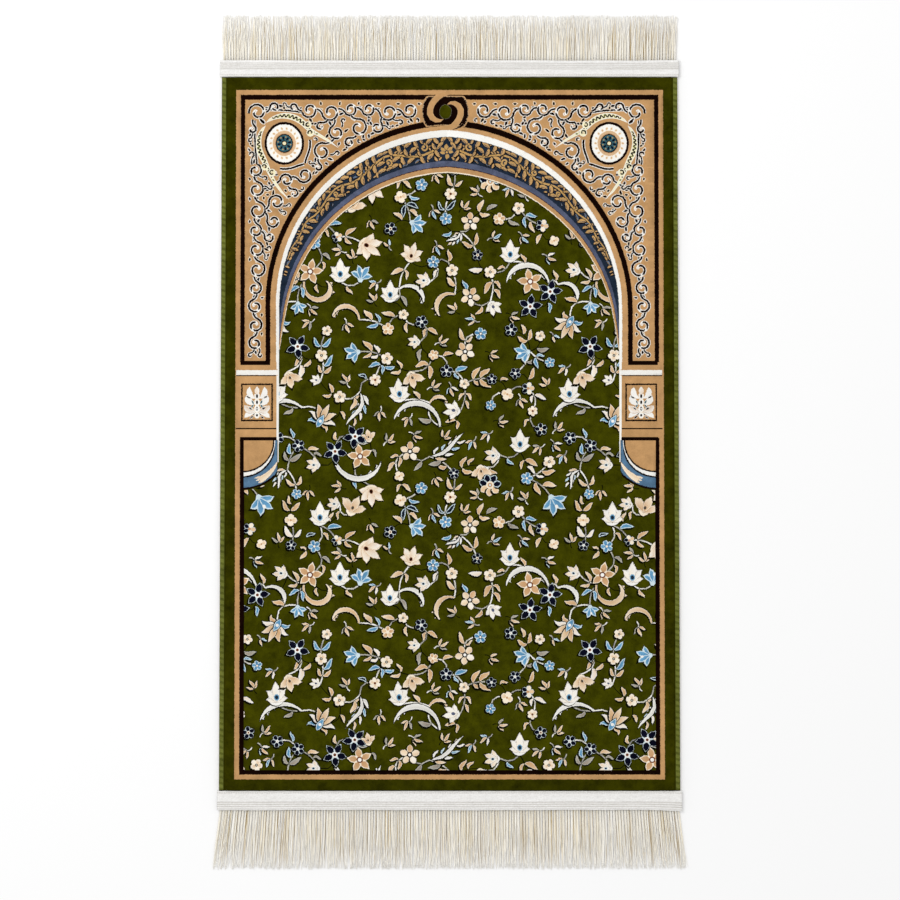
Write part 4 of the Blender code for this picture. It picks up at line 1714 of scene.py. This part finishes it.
def pile_material():
    """Short cut pile: tufts, a soft nap, painted shade between tufts, painted sheen in patches.

    Each tuft takes one side of a figure's line or the other as a whole, so the
    lines of the design are as uneven as the weave."""
    mat, tree, shader = new_material("cut_pile")
    link = tree.links.new
    where = node(tree, "ShaderNodeTexCoord").outputs["Object"]
    yarn = node(tree, "ShaderNodeAttribute", attribute_name="Colour").outputs["Color"]
    rim = node(tree, "ShaderNodeAttribute", attribute_name="Rim")
    edge = node(tree, "ShaderNodeAttribute", attribute_name="Edge").outputs["Color"]
    depth = node(tree, "ShaderNodeAttribute", attribute_name="Depth").outputs["Fac"]
    back = node(tree, "ShaderNodeAttribute", attribute_name="Backing").outputs["Fac"]

    def noise(scale, detail=2.0, rough=0.5):
        made = node(tree, "ShaderNodeTexNoise", in_Scale=scale, in_Detail=detail,
                    in_Roughness=rough)
        link(where, made.inputs["Vector"])
        return made.outputs["Fac"]

    tufts = node(tree, "ShaderNodeTexVoronoi", in_Scale=820.0, in_Randomness=0.7)
    link(where, tufts.inputs["Vector"])
    tuft = tufts.outputs["Distance"]
    lot = node(tree, "ShaderNodeSeparateColor")
    link(tufts.outputs["Color"], lot.inputs[0])
    # the largest noise is painted sheen in patches on the pile, and random tone on the underside's
    # cloth
    fine, nap, sheen_and_tone_patches = noise(1100.0, 2.0), noise(130.0, 3.0, 0.6), noise(52.0, 3.0, 0.6)
    # which yarn a tuft has
    jog = maths(tree, "MULTIPLY", maths(tree, "SUBTRACT", lot.outputs[0], 0.5), 0.50)
    jog = maths(tree, "ADD", jog, maths(tree, "MULTIPLY", maths(
        tree, "SUBTRACT", nap, 0.5), 0.45))
    inside = maths(tree, "ADD", depth, jog)

    def over(limit):
        wide = maths(tree, "MULTIPLY_ADD", maths(tree, "SUBTRACT", inside, limit), 4.0,
                     True)
        wide.node.inputs[2].default_value = 0.5
        return wide

    colour = mixed(tree, over(rim.outputs["Alpha"]), rim.outputs["Color"], yarn)
    colour = mixed(tree, over(0.0), edge, colour)
    # brightness: painted shade in the gaps between tufts, painted sheen in small
    # and large patches where the nap's lay turns, fine grain and each tuft's own tone
    light = maths(tree, "MULTIPLY_ADD", tuft, -0.46)
    light.node.inputs[2].default_value = 1.15
    for value, share in ((fine, 0.42), (nap, 0.60), (sheen_and_tone_patches, 1.7), (lot.outputs[1], 0.16)):
        light = maths(tree, "ADD", light, maths(tree, "MULTIPLY", maths(
            tree, "SUBTRACT", value, 0.5), share))
    # pale yarn shows the pile less than dark yarn
    grey = node(tree, "ShaderNodeRGBToBW")
    link(colour, grey.inputs[0])
    calm = maths(tree, "MULTIPLY", grey.outputs[0], 2.2, True)
    calm = maths(tree, "MULTIPLY", calm, 0.9)
    shade = scaled(tree, colour, mixed(tree, calm, light, 1.0, "FLOAT"))
    # plain cloth of the underside
    weft = node(tree, "ShaderNodeTexWave", wave_type="BANDS", bands_direction="Y",
                in_Scale=260.0, in_Distortion=0.6)
    warp = node(tree, "ShaderNodeTexWave", wave_type="BANDS", bands_direction="X",
                in_Scale=190.0, in_Distortion=0.6)
    for wave in (weft, warp):
        link(where, wave.inputs["Vector"])
    cloth = maths(tree, "MULTIPLY_ADD", maths(
        tree, "MULTIPLY", weft.outputs["Fac"], warp.outputs["Fac"]), 0.35)
    cloth.node.inputs[2].default_value = 0.72
    cloth = maths(tree, "ADD", cloth, maths(tree, "MULTIPLY", sheen_and_tone_patches, 0.16))
    both = mixed(tree, back, shade, scaled(tree, yarn, cloth))
    link(both, shader.inputs["Base Color"])
    height = maths(tree, "ADD", maths(tree, "MULTIPLY", tuft, -1.0),
                   maths(tree, "MULTIPLY", fine, 0.7))
    height = maths(tree, "ADD", height, maths(tree, "MULTIPLY", nap, 0.9))
    cloth_height = maths(tree, "MULTIPLY", maths(
        tree, "ADD", weft.outputs["Fac"], warp.outputs["Fac"]), 0.5)
    bump = node(tree, "ShaderNodeBump", in_Strength=0.45, in_Distance=0.0009)
    link(mixed(tree, back, height, cloth_height, "FLOAT"), bump.inputs["Height"])
    link(bump.outputs[0], shader.inputs["Normal"])
    shader.inputs["Roughness"].default_value = 0.95
    shader.inputs["Specular IOR Level"].default_value = 0.015
    shader.inputs["Sheen Weight"].default_value = 0.0
    shader.inputs["Sheen Roughness"].default_value = 0.6
    return mat


def tape_material():
    """White woven tape: fine weft ribs and warp threads."""
    mat, tree, shader = new_material("woven_tape")
    link = tree.links.new
    where = node(tree, "ShaderNodeTexCoord").outputs["Object"]
    colour = node(tree, "ShaderNodeAttribute", attribute_name="Colour").outputs["Color"]
    warp = node(tree, "ShaderNodeTexWave", wave_type="BANDS", bands_direction="X",
                in_Scale=230.0, in_Distortion=0.8)
    weft = node(tree, "ShaderNodeTexWave", wave_type="BANDS", bands_direction="Y",
                in_Scale=330.0, in_Distortion=0.8)
    soft = node(tree, "ShaderNodeTexNoise", in_Scale=70.0, in_Detail=3.0)
    grain = node(tree, "ShaderNodeTexNoise", in_Scale=430.0, in_Detail=2.0)
    for tex in (warp, weft, soft, grain):
        link(where, tex.inputs["Vector"])
    weave = maths(tree, "ADD", warp.outputs["Fac"], weft.outputs["Fac"])
    light = maths(tree, "MULTIPLY_ADD", weave, 0.07)
    light.node.inputs[2].default_value = 0.89
    light = maths(tree, "ADD", light, maths(tree, "MULTIPLY", maths(
        tree, "SUBTRACT", grain.outputs["Fac"], 0.5), 0.30))
    light = maths(tree, "ADD", light, maths(tree, "MULTIPLY", maths(
        tree, "SUBTRACT", soft.outputs["Fac"], 0.5), 0.10))
    link(scaled(tree, colour, light), shader.inputs["Base Color"])
    bump = node(tree, "ShaderNodeBump", in_Strength=0.35, in_Distance=0.0004)
    link(weave, bump.inputs["Height"])
    link(bump.outputs[0], shader.inputs["Normal"])
    shader.inputs["Roughness"].default_value = 0.88
    shader.inputs["Specular IOR Level"].default_value = 0.2
    shader.inputs["Sheen Weight"].default_value = 0.1
    return mat


def cotton_material():
    """Loosely twisted cotton strands."""
    mat, tree, shader = new_material("cotton_strand")
    link = tree.links.new
    where = node(tree, "ShaderNodeTexCoord").outputs["Object"]
    colour = node(tree, "ShaderNodeAttribute", attribute_name="Colour").outputs["Color"]
    twist = node(tree, "ShaderNodeTexWave", wave_type="BANDS", bands_direction="DIAGONAL",
                 in_Scale=420.0, in_Distortion=2.5, in_Detail=1.0)
    fluff = node(tree, "ShaderNodeTexNoise", in_Scale=520.0, in_Detail=2.0)
    for tex in (twist, fluff):
        link(where, tex.inputs["Vector"])
    both = maths(tree, "ADD", maths(tree, "MULTIPLY", twist.outputs["Fac"], 0.6),
                 fluff.outputs["Fac"])
    light = maths(tree, "MULTIPLY_ADD", both, 0.14)
    light.node.inputs[2].default_value = 0.88
    link(scaled(tree, colour, light), shader.inputs["Base Color"])
    bump = node(tree, "ShaderNodeBump", in_Strength=0.5, in_Distance=0.0003)
    link(both, bump.inputs["Height"])
    link(bump.outputs[0], shader.inputs["Normal"])
    shader.inputs["Roughness"].default_value = 0.9
    shader.inputs["Specular IOR Level"].default_value = 0.2
    shader.inputs["Sheen Weight"].default_value = 0.12
    return mat


def floor_material():
    mat, tree, shader = new_material("studio_floor")
    soft = node(tree, "ShaderNodeTexNoise", in_Scale=2.0, in_Detail=2.0)
    ramp = node(tree, "ShaderNodeValToRGB")
    ramp.color_ramp.elements[0].color = (0.93, 0.93, 0.93, 1)
    ramp.color_ramp.elements[1].color = (0.95, 0.95, 0.95, 1)
    tree.links.new(soft.outputs["Fac"], ramp.inputs["Fac"])
    tree.links.new(ramp.outputs["Color"], shader.inputs["Base Color"])
    shader.inputs["Roughness"].default_value = 1.0
    shader.inputs["Specular IOR Level"].default_value = 0.0
    return mat


# ------------------------------------------------------------ tapes and fringes
def mesh_from(name, verts, faces, colours, material):
    """Mesh with one colour per vertex."""
    mesh = bpy.data.meshes.new(name)
    mesh.from_pydata([tuple(v) for v in verts], [], faces)
    mesh.update()
    paint = mesh.color_attributes.new("Colour", "FLOAT_COLOR", "POINT")
    data = np.ones((len(verts), 4), np.float32)
    data[:, :3] = colours
    paint.data.foreach_set("color", data.ravel())
    mesh.materials.append(material)
    obj = bpy.data.objects.new(name, mesh)
    bpy.context.scene.collection.objects.link(obj)
    return obj


TAPE_HALF = HALF + 0.0025
TAPE_BASE, TAPE_TOP = 0.0020, 0.0050
TAPES = {
    # end: (node, pile end, outward, width, smooth band, rib places, stitch place)
    "top": ("heading_top", PILE_HI, 1, 0.0265, 0.0100,
            (0.0112, 0.0140, 0.0170, 0.0200), 0.0034),
    "bottom": ("heading_bottom", PILE_LO, -1, 0.0297, 0.0140,
               (0.0160, 0.0192, 0.0226, 0.0260), 0.0034),
}


def tape_height(run, width, ribs, stitch, x):
    """Top of the tape at a distance from the pile's end."""
    edge = min(run - 0.0003, width - run)
    top = TAPE_TOP
    if edge < 0.0012:
        top = TAPE_BASE + (TAPE_TOP - TAPE_BASE) * math.sqrt(
            max(0.0, 1 - (1 - max(0, edge) / 0.0012) ** 2))
    for place in ribs:
        top += 0.00050 * math.exp(-((run - place) / 0.00080) ** 2)
        top -= 0.00055 * math.exp(-((run - place - 0.0015) / 0.0006) ** 2)
    top -= 0.00060 * math.exp(-((run - stitch) / 0.0009) ** 2)
    return top + 0.00012 * math.sin(x * 210) * math.sin(run * 900)


def build_tape(end, material):
    name, pile_end, out, width, smooth, ribs, stitch = TAPES[end]
    rng = random.Random(11)
    runs = [0.0003, 0.0005, 0.0009, 0.0015]
    runs += [0.0022 + 0.00062 * i for i in range(int((width - 0.0042) / 0.00062))]
    runs += [width - 0.0013, width - 0.0006, width - 0.0002, width]
    count = 280
    verts, colours = [], []
    white, groove_shade_and_tone = np.array(linear((248, 247, 245))), np.array(linear((186, 180, 170)))
    for i in range(count + 1):
        t = i / count
        x = -TAPE_HALF + 2 * TAPE_HALF * t
        sway = 0.00030 * math.sin(17 * x + 1) + 0.00018 * math.sin(61 * x)
        droop = 0.0016 * max(0.0, (x - 0.30) / 0.05) ** 2 if end == "bottom" else 0.0
        column = [(x, pile_end + out * (r + (sway + droop) * (r / width)),
                   tape_height(r, width, ribs, stitch, x)) for r in runs]
        column += [(x, pile_end + out * (width + sway + droop), TAPE_BASE),
                   (x, pile_end + out * 0.0003, TAPE_BASE)]
        verts += column
        for r in runs + [width, 0.0003]:
            # painted shade in the grooves behind the ribs and at the stitch line, with random tone
            # and faint stripes along the tape
            groove = min([abs(r - p - 0.0015) for p in ribs] + [abs(r - stitch)])
            share = math.exp(-(groove / 0.0006) ** 2) * 0.60 + rng.uniform(0, 0.22)
            share += 0.10 * (math.sin(r * 5200 + 3 * math.sin(x * 9)) > 0.3)
            colours.append(white + (groove_shade_and_tone - white) * share)
    size = len(runs) + 2
    faces = []
    for i in range(count):
        for k in range(size):
            a, b = i * size + k, i * size + (k + 1) % size
            c, d = (i + 1) * size + (k + 1) % size, (i + 1) * size + k
            faces.append((a, b, c, d) if out > 0 else (d, c, b, a))
    ends = [list(range(size)), list(range(count * size, (count + 1) * size))]
    faces.append(ends[0][::-1] if out > 0 else ends[0])
    faces.append(ends[1] if out > 0 else ends[1][::-1])
    # stitches: small rounded bars sunk into the seam
    pitch = 0.0036
    for i in range(int(2 * TAPE_HALF / pitch)):
        cx = -TAPE_HALF + pitch * (i + 0.6)
        cy = pile_end + out * stitch
        cz = TAPE_TOP - 0.00042
        first = len(verts)
        for ring, (share, lift) in enumerate(((0.0, 0.0), (0.55, 0.0003), (1.0, 0.0))):
            for k in range(6):
                a = 2 * math.pi * k / 6
                px = cx + (share - 0.5) * 0.0022
                fat = 0.00042 if ring == 1 else 0.00016
                verts.append((px, cy + math.cos(a) * fat, cz + lift + math.sin(a) * fat))
                colours.append(white * 1.0)
        for ring in range(2):
            for k in range(6):
                a = first + ring * 6 + k
                b = first + ring * 6 + (k + 1) % 6
                faces.append((a, b, b + 6, a + 6))
        faces.append([first + k for k in range(6)][::-1])
        faces.append([first + 12 + k for k in range(6)])
    obj = mesh_from("tape_" + end, verts, faces, np.array(colours), material)
    for polygon in obj.data.polygons:
        polygon.use_smooth = True
    return obj


FRINGES = {
    # end: (pile end, outward, tape width, length, sideways lean, waviness, bundles)
    "top": (PILE_HI, 1, 0.0265, 0.0710, 0.0020, 0.0026, 164),
    "bottom": (PILE_LO, -1, 0.0297, 0.0900, 0.0110, 0.0019, 164),
}


def build_fringe(end, material):
    """Bundles of loose strands that lie on the floor."""
    pile_end, out, tape, length, lean, wavy, bundles = FRINGES[end]
    rng = random.Random(23 if end == "top" else 29)
    verts, faces, colours = [], [], []
    pale, cream = np.array(linear((255, 253, 248))), np.array(linear((238, 224, 188)))
    # tan of the lowest strands: painted shade under the strands on top
    dull = np.array(linear((198, 174, 124)))
    pitch = 2 * (HALF - 0.001) / bundles
    per = 6
    segments = 10
    for b in range(bundles):
        cx = -(HALF - 0.001) + pitch * (b + 0.5) + rng.uniform(-0.0004, 0.0004)
        sway = rng.uniform(-1, 1)
        phase = rng.uniform(0, 6.28)
        full = length - 0.0024 * rng.random()
        for s in range(per):
            spread = (s / (per - 1) - 0.5)
            reach = full * (1 - 0.035 * rng.random() ** 1.5)
            if rng.random() < 0.12:
                reach *= rng.uniform(0.62, 0.9)
            if rng.random() < 0.05:
                reach = min(length, reach * 1.04)
            own = rng.uniform(-1, 1)
            wave_own = rng.uniform(0, 6.28)
            layer = rng.random()
            thick = rng.uniform(0.00052, 0.00074)
            path, radii = [], []
            for i in range(segments + 1):
                t = i / segments
                outline = cx + spread * (0.0019 + 0.0024 * t)
                x = (outline + lean * (2 * cx / (2 * HALF)) ** 3 * t
                     + wavy * t * (0.75 * sway * math.sin(2.6 * t + phase)
                                   + 0.65 * math.sin(7.0 * t + wave_own) * t
                                   + 0.8 * own * t))
                y = pile_end + out * (tape - 0.0012 + (reach + 0.0012) * t)
                lift = 0.0009 * math.sin(math.pi * min(1, t * 1.15)) * layer
                z = 0.0004 + 0.0012 * layer * (1 - 0.4 * t) + lift
                path.append((x, y, z + thick))
                radii.append(thick * (1.0 - 0.30 * t if t < 0.93 else 0.45))
            tone = rng.random()
            # painted shade: the lower a strand lies under the others, the creamier its yarn, and the
            # lowest are tan; the cream also varies at random
            base = pale + (cream - pale) * min(1, 0.35 * tone + 0.9 * (1 - layer) ** 2)
            if layer < 0.16:
                base = dull
            first = len(verts)
            for i, (x, y, z) in enumerate(path):
                t = i / segments
                r = radii[i]
                tint = base * (0.86 + 0.14 * min(1, t * 5)) + (pale - base) * t ** 3 * 0.85
                turn = rng.uniform(-0.2, 0.2)
                for k in range(4):
                    a = math.pi / 4 + math.pi / 2 * k + turn
                    verts.append((x + r * math.cos(a), y, z + r * math.sin(a)))
                    colours.append(tint)
            for i in range(segments):
                for k in range(4):
                    a, c = first + 4 * i + k, first + 4 * i + (k + 1) % 4
                    faces.append((a, a + 4, c + 4, c) if out > 0 else (a, c, c + 4, a + 4))
            cap, tip = list(range(first, first + 4)), list(range(len(verts) - 4, len(verts)))
            faces.append(cap if out > 0 else cap[::-1])
            faces.append(tip[::-1] if out > 0 else tip)
    obj = mesh_from("fringe_" + end + "_strands", verts, faces, np.array(colours),
                    material)
    for polygon in obj.data.polygons:
        polygon.use_smooth = True
    return obj


# ------------------------------------------------------------------- assembling
pile = build_pile()
pile.data.materials.append(pile_material())
for polygon in pile.data.polygons:
    polygon.use_smooth = True
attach(pile, "root")
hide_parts("rug_body")

woven = tape_material()
cotton = cotton_material()
tapes = [build_tape(end, woven) for end in ("top", "bottom")]
for tape, name in zip(tapes, ("heading_top", "heading_bottom")):
    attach(tape, "root")
    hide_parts(name)
fringes = [build_fringe(end, cotton) for end in ("top", "bottom")]
for fringe, name in zip(fringes, ("fringe_top", "fringe_bottom")):
    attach(fringe, "root")
    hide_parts(name)

# the stage
bm = bmesh.new()
bmesh.ops.create_grid(bm, x_segments=8, y_segments=8, size=6.0)
floor_mesh = bpy.data.meshes.new("studio_floor")
bm.to_mesh(floor_mesh)
bm.free()
floor = bpy.data.objects.new("studio_floor", floor_mesh)
floor.data.materials.append(floor_material())
bpy.context.scene.collection.objects.link(floor)

world = bpy.data.worlds.new("studio")
bpy.context.scene.world = world
world.use_nodes = True
world.node_tree.nodes["Background"].inputs["Color"].default_value = (1.0, 1.0, 1.0, 1)
world.node_tree.nodes["Background"].inputs["Strength"].default_value = 0.88


def area_light(name, place, aim, size, power):
    data = bpy.data.lights.new(name, "AREA")
    data.shape = "SQUARE"
    data.size = size
    data.energy = power
    obj = bpy.data.objects.new(name, data)
    obj.location = place
    direction = Vector(aim) - Vector(place)
    obj.rotation_mode = "QUATERNION"
    obj.rotation_quaternion = direction.to_track_quat("-Z", "Y")
    bpy.context.scene.collection.objects.link(obj)


area_light("key", (-1.5, 1.5, 2.6), (0, 0, 0), 1.4, 30)
bpy.context.scene.view_settings.view_transform = "Standard"

# camera: above the rug, tipped a little from the foot's side
AIM = Vector((0.0006, -0.0172, 0.0065))
DISTANCE, TILT = 3.0, math.radians(2.10)
back = Vector((0.0, -math.sin(TILT), math.cos(TILT)))
camera_data = bpy.data.cameras.new("camera")
camera_data.type = "PERSP"
camera_data.sensor_width = 36.0
camera_data.lens = 78.7
camera = bpy.data.objects.new("camera", camera_data)
camera.location = AIM + back * DISTANCE
camera.rotation_mode = "QUATERNION"
camera.rotation_quaternion = (-back).to_track_quat("-Z", "Y")
bpy.context.scene.collection.objects.link(camera)
bpy.context.scene.camera = camera
